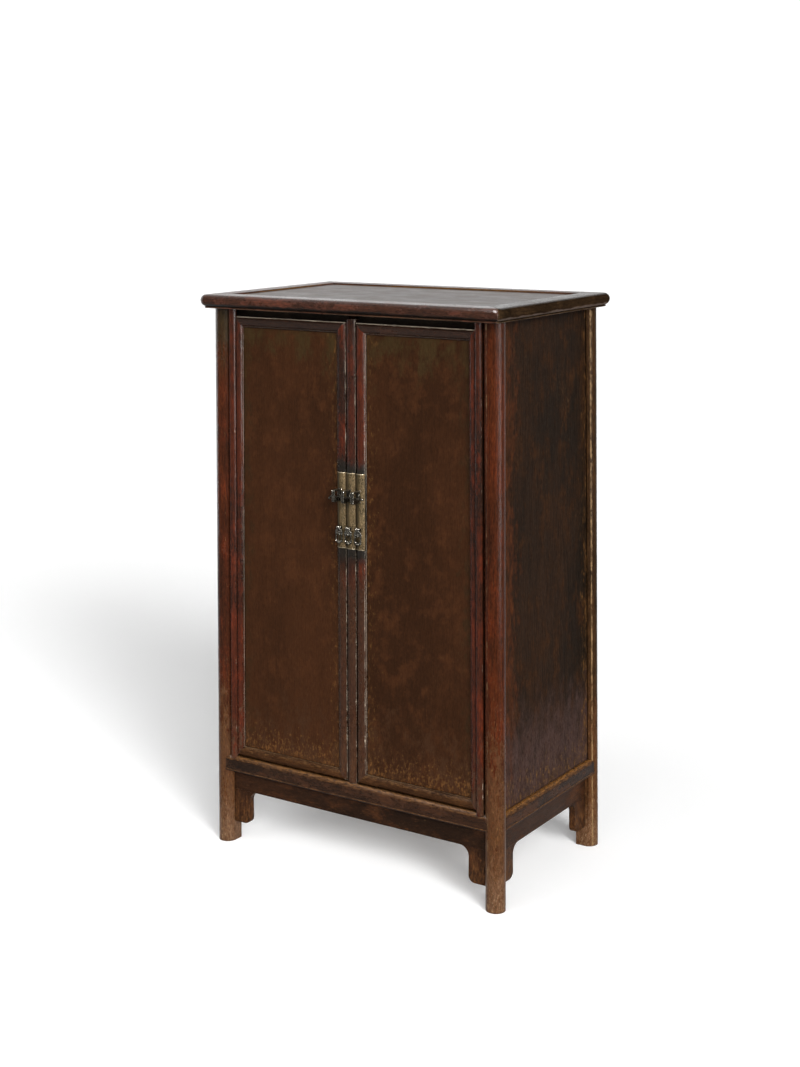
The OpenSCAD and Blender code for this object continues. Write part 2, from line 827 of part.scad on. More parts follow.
module door_bottom_rail(hand) {
    za = door_z0 + door_rail_h;
    color(worn_wood) handed(hand) difference() {
        front_plane() mitred([
            [pivot_in(door_z0), door_z0], [stile_in(za), za], [meet_x1, za], [meet_x0, door_z0]
        ])
            translate([0, 0, door_z0]) along_x(top_w) mirror([0, 1]) rotate(-90)
                frame_section(door_rail_h, face_bead_w);
        door_panel_blank(fit);
    }
}
module door_panel(hand) {
    color(dark_lacquer) handed(hand) door_panel_blank(0);
}
module door_battens(hand) {
    mid = (door_z0 + door_z1) / 2;
    color(raw_wood) handed(hand) front_plane()
        for (z = [door_z0 + door_batten_inset, mid, door_z1 - door_batten_inset]) {
            z0 = z - door_batten_h / 2;
            z1 = z + door_batten_h / 2;
            front_slab(-door_back_v, door_panel_v - door_panel_t) polygon([
                [meet_x1 + fit, z0], [stile_in(z0) - fit, z0],
                [stile_in(z1) - fit, z1], [meet_x1 + fit, z1]
            ]);
        }
}

// The loose stile between the doors, which lifts out of its lower mortise
module centre_section() {
    r = centre_face_r;
    back = -door_back_v;
    edge = centre_crown_v - face_fall - centre_edge_h;
    translate([-centre_w / 2, back]) square([centre_w, edge - back]);
    intersection() {
        translate([-centre_w / 2, edge - root]) square([centre_w, centre_crown_v - edge + 2 * root]);
        translate([0, centre_crown_v - r]) circle(r);
    }
}
module centre_tenon(z0, z1, extra) {
    translate([-centre_tenon_w / 2 - extra, -centre_tenon_v - centre_tenon_t / 2 - extra, z0])
        cube([centre_tenon_w + 2 * extra, centre_tenon_t + 2 * extra, z1 - z0]);
}
module centre_low_mortise() {
    front_plane() centre_tenon(rail_top - centre_tenon_l - centre_end_gap, total_h / 2, centre_play);
}
module centre_high_mortise() {
    z1 = under_z + centre_high_tenon_l + centre_lift + centre_end_gap;
    front_plane() centre_tenon(centre_z1, z1, centre_play);
}
module centre_stile() {
    color(red_lacquer) front_plane() {
        translate([0, 0, centre_z0]) linear_extrude(centre_z1 - centre_z0)
            mirror([0, 1]) centre_section();
        centre_tenon(centre_z0 - centre_tenon_l, centre_z0 + root, 0);
        centre_tenon(centre_z1 - root, under_z + centre_high_tenon_l, 0);
    }
}

// Metal fittings. Each set sits on a rounded face: x is the face's middle, crown its front.
module on_meeting_stile(hand) {
    handed(hand) front_plane() translate([meet_x0 + meet_face_w / 2, 0, 0]) children();
}
module plate(w, r, crown) {
    color(aged_brass) translate([0, 0, plate_z - plate_h / 2]) linear_extrude(plate_h)
        mirror([0, 1]) intersection() {
            difference() {
                translate([0, crown - r]) circle(r + seat + plate_t);
                translate([0, crown - r]) circle(r + seat);
            }
            translate([-w / 2, 0]) square([w, crown + 2 * plate_t]);
        }
}
module lock_lug(crown) {
    v0 = crown + plate_t + 2 * seat;
    round_r = lug_round_r;
    slot_v = max(lug_tip_v - lug_bar - lug_slot_d, v0 + lug_foot);
    color(dark_metal) along_x(lug_t) difference() {
        union() {
            translate([v0, lug_z]) square([lug_tip_v - round_r - v0, lug_h]);
            translate([v0, lug_z + round_r]) square([lug_tip_v - v0, lug_h - 2 * round_r]);
            for (z = [lug_z + round_r, lug_z + lug_h - round_r])
                translate([lug_tip_v - round_r, z]) circle(round_r);
        }
        translate([slot_v, lug_z + lug_h - lug_arm - lug_slot_h])
            square([lug_tip_v - lug_bar - slot_v, lug_slot_h]);
    }
}
// A small fork with a pin, on which the pull hangs
module pull_staple(r, crown) {
    axis_v = crown + seat + plate_t + pull_stand;
    inside = pull_eye_w / 2 + pull_cheek_gap;
    color(dark_metal) difference() {
        union() {
            for (side = [-1, 1])
                translate([side * (inside + pull_cheek_t / 2), 0, 0]) along_x(pull_cheek_t) {
                    translate([crown, pull_z - pull_eye_r]) square([axis_v - crown, 2 * pull_eye_r]);
                    translate([axis_v, pull_z]) circle(pull_eye_r);
                }
            translate([0, -axis_v, pull_z]) rotate([0, 90, 0])
                cylinder(h = 2 * inside + pull_cheek_t, r = pull_pin_d / 2, center = true);
        }
        translate([0, r - crown, pull_z - 2 * pull_eye_r])
            cylinder(h = 4 * pull_eye_r, r = r + plate_t + 2 * seat);
    }
}
module pull(crown) {
    axis_v = crown + seat + plate_t + pull_stand;
    loop_top = pull_eye_r + pull_neck;
    bar = pull_w / 4;
    corner = pull_w / 2;
    low = -loop_top - pull_h;
    color(dark_metal) translate([0, -axis_v, pull_z]) difference() {
        union() {
            rotate([0, 90, 0]) cylinder(h = pull_eye_w, r = pull_eye_r, center = true);
            rotate([90, 0, 0]) linear_extrude(pull_t, center = true) difference() {
                union() {
                    translate([-pull_eye_w / 2, -loop_top - bar]) square([pull_eye_w, loop_top + bar]);
                    for (z = [-loop_top - corner, low + corner]) translate([0, z]) circle(corner);
                    translate([-corner, low + corner]) square([2 * corner, pull_h - 2 * corner]);
                }
                for (z = [-loop_top - corner, low + corner])
                    translate([0, z]) circle(corner - bar);
                translate([bar - corner, low + corner])
                    square([2 * (corner - bar), pull_h - 2 * corner]);
            }
            translate([0, 0, low - pull_ball_r + root]) sphere(pull_ball_r);
        }
        rotate([0, 90, 0])
            cylinder(h = 2 * pull_eye_w, r = pull_pin_d / 2 + pin_clearance, center = true);
    }
}
module left_set() {
    on_meeting_stile(-1) children();
}
module right_set() {
    on_meeting_stile(1) children();
}
module centre_set() {
    front_plane() children();
}

top_front_member();
top_back_member();
top_side_member(-1);  // top_left_member
top_side_member(1);  // top_right_member
top_panel();
top_braces();
post(-1, false);  // front_left_post
post(1, false);  // front_right_post
post(-1, true);  // back_left_post
post(1, true);  // back_right_post
front_rail();
back_rail();
side_rail(-1);  // left_rail
side_rail(1);  // right_rail
door_stop_strip();
side_panel(-1);  // left_side_panel
side_panel(1);  // right_side_panel
back_stile();
back_panel(-1);  // back_left_panel
back_panel(1);  // back_right_panel
floor_panel();
floor_braces();
shelf(lower_shelf_rise);  // lower_shelf
shelf(upper_shelf_rise);  // upper_shelf
shelf_battens();
color(dark_lacquer) front_apron_blank();  // front_apron
color(dark_lacquer) mirror([0, 1, 0]) front_apron_blank();  // back_apron
side_apron(-1);  // left_apron
side_apron(1);  // right_apron
color(dark_lacquer) front_spandrel_pair(spandrel_reach_front);  // front_spandrels
color(dark_lacquer) mirror([0, 1, 0]) front_spandrel_pair(spandrel_reach_back);  // back_spandrels
side_spandrel_pair(-1);  // left_spandrels
side_spandrel_pair(1);  // right_spandrels
hinge_stile(-1);  // left_hinge_stile
meeting_stile(-1);  // left_meeting_stile
door_top_rail(-1);  // left_door_top_rail
door_bottom_rail(-1);  // left_door_bottom_rail
door_panel(-1);  // left_door_panel
door_battens(-1);  // left_door_battens
hinge_stile(1);  // right_hinge_stile
meeting_stile(1);  // right_meeting_stile
door_top_rail(1);  // right_door_top_rail
door_bottom_rail(1);  // right_door_bottom_rail
door_panel(1);  // right_door_panel
door_battens(1);  // right_door_battens
centre_stile();
left_set() plate(meet_face_w, meet_face_r, door_crown_v);  // left_plate
centre_set() plate(centre_w, centre_face_r, centre_crown_v);  // centre_plate
right_set() plate(meet_face_w, meet_face_r, door_crown_v);  // right_plate
left_set() lock_lug(door_crown_v);  // left_lock_lug
centre_set() lock_lug(centre_crown_v);  // centre_lock_lug
right_set() lock_lug(door_crown_v);  // right_lock_lug
left_set() pull_staple(meet_face_r, door_crown_v);  // left_pull_staple
centre_set() pull_staple(centre_face_r, centre_crown_v);  // centre_pull_staple
right_set() pull_staple(meet_face_r, door_crown_v);  // right_pull_staple
left_set() pull(door_crown_v);  // left_pull
centre_set() pull(centre_crown_v);  // centre_pull
right_set() pull(door_crown_v);  // right_pull
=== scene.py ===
"""A small cabinet with sloping stiles and wood-hinged doors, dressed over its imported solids.

Lengths are in metres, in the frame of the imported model: X to the right, Y to the back, Z up.
The solids keep their shapes and get their finishes here. The pulls and the lock lugs are made
anew, and the plates' rims and the lock pin are added.
"""
import json
import logging
import math
from dataclasses import dataclass, replace
from enum import Enum

import bmesh
import bpy
from mathutils import Matrix, Vector

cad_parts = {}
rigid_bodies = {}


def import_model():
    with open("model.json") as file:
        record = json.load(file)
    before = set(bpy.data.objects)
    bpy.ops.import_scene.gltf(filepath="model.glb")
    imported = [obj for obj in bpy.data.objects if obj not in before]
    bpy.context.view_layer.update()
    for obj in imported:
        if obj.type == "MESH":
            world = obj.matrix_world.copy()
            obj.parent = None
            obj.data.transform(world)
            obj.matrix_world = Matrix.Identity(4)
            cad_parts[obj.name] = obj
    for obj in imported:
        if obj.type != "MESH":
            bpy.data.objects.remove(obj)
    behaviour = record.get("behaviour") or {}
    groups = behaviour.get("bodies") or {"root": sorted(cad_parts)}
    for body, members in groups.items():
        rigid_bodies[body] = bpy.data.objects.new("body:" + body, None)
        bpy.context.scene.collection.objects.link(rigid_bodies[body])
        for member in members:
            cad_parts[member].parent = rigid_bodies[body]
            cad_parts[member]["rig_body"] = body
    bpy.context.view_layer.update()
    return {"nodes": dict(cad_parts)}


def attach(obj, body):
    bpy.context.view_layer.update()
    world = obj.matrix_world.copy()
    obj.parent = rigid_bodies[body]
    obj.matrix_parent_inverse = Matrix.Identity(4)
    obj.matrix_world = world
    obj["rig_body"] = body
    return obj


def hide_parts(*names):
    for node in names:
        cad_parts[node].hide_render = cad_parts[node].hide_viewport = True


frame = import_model()
LOG = logging.getLogger("cabinet")

Colour = tuple[float, float, float]
Tint = tuple[Colour, Colour, Colour]
Axis = tuple[float, float, float]
Span = tuple[float, float]
Outline = list[tuple[float, float]]
Socket = bpy.types.NodeSocket
Material = bpy.types.Material
Object = bpy.types.Object

RIGHT: Axis = (1.0, 0.0, 0.0)
LEFT: Axis = (-1.0, 0.0, 0.0)
BACK: Axis = (0.0, 1.0, 0.0)
FRONT: Axis = (0.0, -1.0, 0.0)
UP: Axis = (0.0, 0.0, 1.0)
STILL: Axis = (0.0, 0.0, 0.0)

MM = 0.001
# How far up the leaning front the plates' middle lies
PLATE_Z = 648.5 * MM
# How near two corners of a solid's facets are one, the angle from which its edges stay sharp, and
# the angle from which a new lug's edges are eased
WELD = 0.002 * MM
CREASE = math.radians(33.0)
SQUARE = 1.2
# How much a face's area counts where a smooth copy's normals are evened
EVENING = 90


class Grain(Enum):
    """The way the wood's grain runs."""

    ACROSS = 0
    DEEP = 1
    UPRIGHT = 2


class Reads(Enum):
    """What a patch of wear looks at: where a point lies, or which way its surface faces."""

    PLACE = "Object"
    FACING = "Normal"


class Hand(Enum):
    """The left or the right side of the cabinet, or its middle."""

    LEFT = -1
    CENTRE = 0
    RIGHT = 1

    @property
    def word(self) -> str:
        """The hand's name, as the nodes spell it."""
        return self.name.lower()


# How the cabinet stands


@dataclass(frozen=True)
class Stance:
    """How the cabinet's planes lean, so that a place on its front can be written flat."""

    foot_y: float = 0.1684
    splay_x: float = 0.0164
    splay_y: float = 0.0139
    under_z: float = 0.977

    @property
    def slope_x(self) -> float:
        """How far the posts lean sideways for each metre of height."""
        return self.splay_x / self.under_z

    @property
    def slope_y(self) -> float:
        """How far the posts lean from front to back for each metre of height."""
        return self.splay_y / self.under_z

    def front(self, x: float, forward: float, up: float) -> Vector:
        """Turns a place on the leaning front into a place in the room.

        Args:
            x: Distance to the right of the middle.
            forward: Distance in front of the post centres.
            up: Distance up the leaning front, from the floor.

        Returns:
            The place in the model's frame.
        """
        lean = math.atan(self.slope_y)
        cos, sin = math.cos(lean), math.sin(lean)
        return Vector((x, -self.foot_y - forward * cos + up * sin, forward * sin + up * cos))


STANCE = Stance()


# Finishes


class Graph:
    """Adds nodes to one tree of nodes."""

    def __init__(self, tree: bpy.types.NodeTree) -> None:
        """Opens the tree."""
        self.nodes, self.links = tree.nodes, tree.links

    def feed(self, socket: Socket, value: object) -> None:
        """Links a socket, or sets its value.

        Args:
            socket: The input to feed.
            value: Another node's output, or a plain value.
        """
        if isinstance(value, Socket):
            self.links.new(value, socket)
        else:
            socket.default_value = value

    def step(self, kind: str, feeds: dict[str | int, object], **settings: object) -> bpy.types.Node:
        """Adds one node.

        Args:
            kind: The node's type.
            feeds: What its inputs are linked or set to, by name or by place.
            settings: The node's own settings.

        Returns:
            The node.
        """
        node = self.nodes.new(kind)
        for key, value in settings.items():
            setattr(node, key, value)
        for key, value in feeds.items():
            self.feed(node.inputs[key], value)
        return node

    def maths(self, operation: str, *values: object) -> Socket:
        """Works on plain numbers and returns the result."""
        return self.step("ShaderNodeMath", dict(enumerate(values)), operation=operation).outputs[0]

    def along(self, source: Socket, axis: object) -> Socket:
        """Measures a vector along an axis, plain or linked, and returns the length."""
        feeds = {0: source, 1: axis}
        return self.step("ShaderNodeVectorMath", feeds, operation="DOT_PRODUCT").outputs["Value"]

    def slope(self, value: object, low: float, high: float, at_low: float, at_high: float) -> Socket:
        """Leads a value's rise from low to high softly from at_low to at_high and returns the result."""
        feeds = {"Value": value, "From Min": low, "From Max": high, "To Min": at_low, "To Max": at_high}
        return self.step("ShaderNodeMapRange", feeds, interpolation_type="SMOOTHSTEP").outputs["Result"]


class Sketch(Graph):
    """Draws one material's nodes."""

    around_samples = 6
    edge_samples = 4
    # How many radii round an edge are looked at, and what counts there as proud and as sharp
    edge_reach = 2.5
    proud: Span = (0.62, 0.85)
    sharp: Span = (0.995, 0.93)

    def __init__(self, name: str) -> None:
        """Starts a material with its main shader.

        Args:
            name: The material's name.
        """
        self.material = bpy.data.materials.new(name)
        self.material.use_nodes = True
        super().__init__(self.material.node_tree)
        self.shader = self.nodes["Principled BSDF"]
        self.sources = self.nodes.new("ShaderNodeTexCoord").outputs

    def finish(self, **inputs: object) -> Material:
        """Feeds the main shader.

        Args:
            inputs: The shader's inputs, by name with underscores for spaces.

        Returns:
            The finished material.
        """
        for name, value in inputs.items():
            self.feed(self.shader.inputs[name.replace("_", " ")], value)
        return self.material

    def times(self, a: object, b: object) -> Socket:
        """Multiplies two values and returns the product."""
        return self.maths("MULTIPLY", a, b)

    def plus(self, a: object, b: object) -> Socket:
        """Adds two values and returns the sum."""
        return self.maths("ADD", a, b)

    def about(self, noise: Socket, share: float) -> Socket:
        """Centres a noise on zero, scales it by a share and returns it."""
        return self.times(self.maths("SUBTRACT", noise, 0.5), share)

    def facing(self, axis: Axis) -> Socket:
        """Measures how far the surface faces along an axis and returns it."""
        return self.along(self.sources["Normal"], axis)

    def ramp(self, value: object, start: float, full: float) -> Socket:
        """Turns a value into a soft step from 0 at start to 1 at full, either way, and returns it."""
        return self.slope(value, *((start, full, 0.0, 1.0) if full > start else (full, start, 1.0, 0.0)))

    def noise(self, scale: float, stretch: Axis, detail: float, roughness: float,
              shift: float = 0.0) -> Socket:
        """Adds a cloud of noise over the piece.

        Args:
            scale: Features to the metre.
            stretch: How each axis is squeezed, so that a small number draws the cloud out.
            detail: Levels of finer noise.
            roughness: How strong the finer levels are.
            shift: How far the pattern is moved, so that two clouds differ.

        Returns:
            The noise, from 0 to 1.
        """
        moved = {"Vector": self.sources["Object"], "Location": (shift, 0.7 * shift, 0.3 * shift),
                 "Scale": stretch}
        place = self.step("ShaderNodeMapping", moved).outputs[0]
        feeds = {"Vector": place, "Scale": scale, "Detail": detail, "Roughness": roughness}
        return self.step("ShaderNodeTexNoise", feeds).outputs["Fac"]

    def mix(self, share: object, a: object, b: object) -> Socket:
        """Blends two colours, plain or linked, by the share of the second, and returns the blend."""
        a, b = ((*colour, 1.0) if isinstance(colour, tuple) else colour for colour in (a, b))
        return self.step("ShaderNodeMix", {"Factor": share, 6: a, 7: b}, data_type="RGBA").outputs[2]

    def scaled(self, colour: Socket, share: Socket) -> Socket:
        """Lightens or darkens a colour by a share and returns it."""
        return self.step("ShaderNodeVectorMath", {0: colour, "Scale": share}, operation="SCALE").outputs[0]

    def openness(self, reach: float, alone: bool) -> Socket:
        """Measures how open the surface lies to what is in reach, or to the piece alone, and returns it."""
        return self.step("ShaderNodeAmbientOcclusion", {"Distance": reach}, samples=self.around_samples,
                         only_local=alone).outputs["AO"]

    def edges(self, radius: float) -> tuple[Socket, Socket]:
        """Finds the piece's proud edges.

        Args:
            radius: How far from an edge the surface counts as part of it.

        Returns:
            A normal that is rounded at the edges, and a share that is 1 on the proud ones.
        """
        soft = self.step("ShaderNodeBevel", {"Radius": radius}, samples=self.edge_samples).outputs[0]
        flat = self.nodes.new("ShaderNodeNewGeometry").outputs["Normal"]
        turned = self.ramp(self.along(soft, flat), *self.sharp)
        proud = self.ramp(self.openness(self.edge_reach * radius, True), *self.proud)
        return soft, self.times(turned, proud)

    def relief(self, height: Socket, depth: float, normal: Socket) -> Socket:
        """Presses a height into the surface, to a depth, and returns its new normal."""
        feeds = {"Strength": 1.0, "Distance": depth, "Height": height, "Normal": normal}
        return self.step("ShaderNodeBump", feeds).outputs["Normal"]


@dataclass(frozen=True)
class Patch:
    """A region where the lacquer is worn or has changed colour.

    Its reading along the axis, or that reading's distance from middle, begins to show the colour
    at start and shows it most at full. amount is how much it then covers, grit is how fine the
    specks at its border are, and ragged is how far they break it up.
    """

    axis: Axis
    start: float
    full: float
    colour: Colour
    amount: float
    grit: float
    reads: Reads = Reads.PLACE
    middle: float | None = None
    ragged: float = 2.6

    # Where the ragged cover begins and is whole, and how soon past its start it may show
    torn = (0.34, 0.78)
    border = (0.0, 0.12)

    def cover(self, sketch: Sketch, stretch: Axis) -> Socket:
        """Draws the patch's ragged cover.

        Args:
            sketch: The material that it is drawn in.
            stretch: How the grain draws out its specks.

        Returns:
            The share of the surface that shows the patch's colour.
        """
        reading = sketch.along(sketch.sources[self.reads.value], self.axis)
        if self.middle is not None:
            reading = sketch.maths("ABSOLUTE", sketch.maths("SUBTRACT", reading, self.middle))
        region = sketch.ramp(reading, self.start, self.full)
        speck = sketch.noise(2.0 * self.grit, stretch, detail=9.0, roughness=0.78,
                             shift=self.start * 3.0 + self.grit)
        total = sketch.plus(sketch.times(region, self.amount), sketch.about(speck, self.ragged))
        return sketch.times(sketch.ramp(total, *self.torn), sketch.ramp(region, *self.border))


GOLD: Colour = (0.105, 0.042, 0.009)
OCHRE: Colour = (0.085, 0.040, 0.013)
STRAW: Colour = (0.180, 0.110, 0.058)
PALE: Colour = (0.420, 0.350, 0.270)
RAW: Colour = (0.100, 0.050, 0.025)
OLIVE: Colour = (0.022, 0.013, 0.005)
# This near black darkens the grain's streaks, and is also the painted shade in hollows and on undersides
SOOT_AND_SHADE: Colour = (0.004, 0.003, 0.002)
TARNISH: Colour = (0.009, 0.0068, 0.0048)
DUST: Colour = (0.14, 0.080, 0.036)
WHITE = (1.0, 1.0, 1.0, 1.0)


@dataclass(frozen=True)
class Layer:
    """One layer of a lacquer's noise.

    It has scale features to the metre, and the smaller drawn is, the further the grain draws
    them out. shift moves the pattern, so that two layers differ.
    """

    scale: float
    drawn: float
    detail: float
    roughness: float
    shift: int = 0


CLOUDS = Layer(6.0, 0.4, 6.0, 0.62)
BLOTCHES = Layer(34.0, 0.55, 9.0, 0.7, 3)
STREAKS = Layer(380.0, 0.05, 5.0, 0.66, 5)
CHANCES = Layer(26.0, 0.3, 8.0, 0.75, 9)
GRIT = Layer(520.0, 0.3, 4.0, 0.7, 11)
SWARMS = Layer(11.0, 0.6, 6.0, 0.7, 13)
TOOTH = Layer(470.0, 0.3, 3.0, 0.75, 15)
PITS = Layer(900.0, 0.4, 3.0, 0.6)


@dataclass(frozen=True)
class Lacquer:
    """Old lacquer over wood: clouded, streaked along the grain, rubbed at the edges and darkened in its
    hollows by painted shade.

    tint holds the colours of its dark clouds, its body and its warm blotches. rub is the colour
    of its rubbed edges, edge their radius, and lit keeps that colour to the sides that the light reaches,
    where it is a painted highlight as well as wear. grime is how strongly painted shade darkens the hollows.
    shine is its roughness, gloss how much it mirrors, and gloss_up how much where it faces up.
    """

    name: str
    grain: Grain
    tint: Tint
    patches: tuple[Patch, ...] = ()
    # Rubbed edges: their colour and share, which where lit is set are a painted highlight as well as wear
    rub: Colour = STRAW
    rubbed: float = 0.7
    streaks: float = 0.35
    shine: float = 0.42
    gloss: float = 0.08
    cloud: float = CLOUDS.scale
    edge: float = 0.002
    # How strongly painted shade darkens the hollows
    grime: float = 0.8
    gloss_up: float | None = None
    flecks: float = 0.25
    mottle: float = BLOTCHES.drawn
    tooth: float = 0.9
    lit: bool = False

    # Where each reading begins to show, and where it shows in full
    clouded = (0.34, 0.62)
    blotched = (0.47, 0.68)
    streaked = (0.56, 0.36)
    flecked = (0.62, 0.82)
    chanced = (0.34, 0.60)
    sunken = (0.75, 0.3)
    roughened = (0.3, 0.7)
    upward = (0.75, 0.99)
    lightward = (0.0, 0.45)
    light = (0.8, 0.0, 0.6)
    # How much of each goes in
    warm_share = 0.75
    swarm_share = 0.55
    tooth_share = 2.6
    darkest_tooth = 0.25
    patch_drawn = 0.65
    rough_spread = 0.16
    rough_worn = 0.14
    streak_relief, blotch_relief, pit_relief = 0.6, 0.9, 0.12
    relief_depth = 0.0007
    hollow_reach = 0.008

    def stretch(self, share: float) -> Axis:
        """How far a pattern is drawn out along the grain."""
        return tuple(share if i == self.grain.value else 1.0 for i in range(3))

    def layer(self, sketch: Sketch, layer: Layer, seed: int) -> Socket:
        """Draws a layer of noise along the grain and returns it."""
        return sketch.noise(layer.scale, self.stretch(layer.drawn), layer.detail, layer.roughness,
                            seed + layer.shift)

    def ground(self, sketch: Sketch, seed: int, blotch: Socket,
               streak: Socket) -> tuple[Socket, Socket | None]:
        """Colours the lacquer and its patches.

        Args:
            sketch: The material.
            seed: Where its patterns start.
            blotch: Its blotches.
            streak: Its streaks.

        Returns:
            The colour, and how far the patches cover it, if there are any.
        """
        deep, body, warm = self.tint
        cloud = self.layer(sketch, replace(CLOUDS, scale=self.cloud), seed)
        colour = sketch.mix(sketch.ramp(cloud, *self.clouded), deep, body)
        colour = sketch.mix(sketch.times(sketch.ramp(blotch, *self.blotched), self.warm_share), colour, warm)
        colour = sketch.mix(sketch.times(sketch.ramp(streak, *self.streaked), self.streaks), colour, SOOT_AND_SHADE)
        worn = None
        for patch in self.patches:
            cover = patch.cover(sketch, self.stretch(self.patch_drawn * self.mottle))
            colour = sketch.mix(cover, colour, patch.colour)
            worn = cover if worn is None else sketch.maths("MAXIMUM", worn, cover)
        return colour, worn

    def age(self, sketch: Sketch, seed: int, colour: Socket, sharp: Socket) -> Socket:
        """Adds specks, rubbed edges with a painted highlight on them where lit is set, and painted shade in
        the hollows.

        Args:
            sketch: The material.
            seed: Where its patterns start.
            colour: The colour so far.
            sharp: The share that is 1 on the proud edges.

        Returns:
            The aged colour.
        """
        grit = self.layer(sketch, GRIT, seed)
        bunch = sketch.plus(grit, sketch.about(self.layer(sketch, SWARMS, seed), self.swarm_share))
        colour = sketch.mix(sketch.times(sketch.ramp(bunch, *self.flecked), self.flecks), colour, DUST)
        fine = sketch.about(self.layer(sketch, TOOTH, seed), self.tooth_share * self.tooth)
        colour = sketch.scaled(colour, sketch.maths("MAXIMUM", sketch.plus(fine, 1.0), self.darkest_tooth))
        chance = sketch.ramp(self.layer(sketch, CHANCES, seed), *self.chanced)
        rub = sketch.times(sketch.times(sharp, chance), self.rubbed)
        # Where lit is set, the pale edge colour stays on the sides facing the light: a painted highlight as
        # well as wear
        if self.lit:
            rub = sketch.times(rub, sketch.ramp(sketch.facing(self.light), *self.lightward))
        colour = sketch.mix(rub, colour, self.rub)
        # Painted shade: the hollows, found by ambient occlusion, are darkened toward the near-black soot
        # colour
        hollow = sketch.ramp(sketch.openness(self.hollow_reach, False), *self.sunken)
        return sketch.mix(sketch.times(hollow, self.grime), colour, SOOT_AND_SHADE)

    def mirror(self, sketch: Sketch) -> Socket:
        """Leads the gloss to gloss_up where the surface faces up and returns it."""
        up = sketch.ramp(sketch.facing(UP), *self.upward)
        return sketch.plus(sketch.times(up, self.gloss_up - self.gloss), self.gloss)

    def make(self) -> Material:
        """Builds the material.

        Returns:
            The finished material.
        """
        sketch = Sketch(self.name)
        seed = sum(map(ord, self.name)) % 17
        blotch = self.layer(sketch, replace(BLOTCHES, drawn=self.mottle), seed)
        streak = self.layer(sketch, STREAKS, seed)
        colour, worn = self.ground(sketch, seed, blotch, streak)
        normal, sharp = sketch.edges(self.edge)
        rough = sketch.plus(sketch.times(sketch.ramp(blotch, *self.roughened), self.rough_spread),
                            self.shine - self.rough_spread / 2)
        if worn is not None:
            rough = sketch.plus(rough, sketch.times(worn, self.rough_worn))
        pits = self.layer(sketch, PITS, 0)
        height = sketch.times(streak, self.streak_relief)
        for relief, share in ((blotch, self.blotch_relief), (pits, self.pit_relief)):
            height = sketch.plus(height, sketch.times(relief, share))
        gloss = self.gloss if self.gloss_up is None else self.mirror(sketch)
        return sketch.finish(Base_Color=self.age(sketch, seed, colour, sharp), Roughness=rough,
                             Normal=sketch.relief(height, self.relief_depth, normal),
                             Specular_IOR_Level=gloss)


@dataclass(frozen=True)
class Patina:
    """Old metal, tarnished in clouds and scratched to its bright colour.

    lit is how far its right-facing side gets painted highlight specks in its bright colour and its
    other side painted shade in its tarnish colour, and metal how much of its surface is bare metal.
    """

    name: str
    tarnish: Colour
    body: Colour
    bright: Colour
    shine: float = 0.38
    scratched: float = 0.5
    cloud: float = 90.0
    edge: float = 0.0006
    lit: float = 0.0
    metal: float = 0.6

    # Where each reading begins to show, and where it shows in full
    clouded = (0.38, 0.6)
    rightward = (-0.35, 0.45)
    leftward = (0.6, 0.0)
    speckled = (0.44, 0.66)
    scored = (0.6, 0.74)
    crossed = (0.66, 0.78)
    # How much of each goes in
    edge_share = 0.8
    rough_spread = 0.25
    scratch_relief = 0.2
    relief_depth = 0.0004

    def make(self) -> Material:
        """Builds the material.

        Returns:
            The finished material.
        """
        sketch = Sketch(self.name)
        cloud = sketch.noise(self.cloud, (1.0, 1.0, 0.5), detail=8.0, roughness=0.7)
        scratch = sketch.noise(900.0, (1.0, 1.0, 0.05), detail=4.0, roughness=0.6, shift=2.0)
        cross = sketch.noise(700.0, (0.08, 0.08, 1.0), detail=4.0, roughness=0.6, shift=5.0)
        colour = sketch.mix(sketch.ramp(cloud, *self.clouded), self.tarnish, self.body)
        # Where lit is set: painted shade in the tarnish colour on the side turned from the right, painted
        # highlight specks on the side facing it
        if self.lit:
            right = sketch.ramp(sketch.facing(RIGHT), *self.rightward)
            turned = sketch.ramp(right, *self.leftward)
            colour = sketch.mix(sketch.times(turned, self.lit), colour, self.tarnish)
            specks = sketch.noise(650.0, (1.0, 1.0, 0.6), detail=3.0, roughness=0.75, shift=7.0)
            rubbed = sketch.times(sketch.ramp(specks, *self.speckled), right)
            colour = sketch.mix(sketch.times(rubbed, self.lit), colour, self.bright)
        lines = sketch.maths("MAXIMUM", sketch.ramp(scratch, *self.scored), sketch.ramp(cross, *self.crossed))
        colour = sketch.mix(sketch.times(lines, self.scratched), colour, self.bright)
        normal, sharp = sketch.edges(self.edge)
        colour = sketch.mix(sketch.times(sharp, self.edge_share), colour, self.bright)
        rough = sketch.plus(sketch.times(cloud, self.rough_spread), self.shine - 0.12)
        height = sketch.plus(cloud, sketch.times(scratch, self.scratch_relief))
        return sketch.finish(Base_Color=colour, Roughness=rough, Metallic=self.metal,
                             Normal=sketch.relief(height, self.relief_depth, normal))


# The stiles' colour and wear: brown below the plates, grey where hands reach for them, and a painted
# highlight, partly rubbed wear, down the side that turns to the right
HANDLING_AND_HIGHLIGHT = (
    Patch(UP, 0.62, 0.48, (0.030, 0.0110, 0.0045), 0.85, 30.0, ragged=2.2),
    Patch(UP, 0.40, 0.17, (0.045, 0.018, 0.007), 0.6, 50.0),
    Patch(UP, 0.125, 0.060, TARNISH, 0.85, 60.0, middle=PLATE_Z, ragged=0.9),
    # Painted highlight with some wear: a pale line where the face turns to the right
    Patch(RIGHT, 0.055, 0.015, PALE, 0.50, 60.0, Reads.FACING, middle=0.84, ragged=2.4),
)


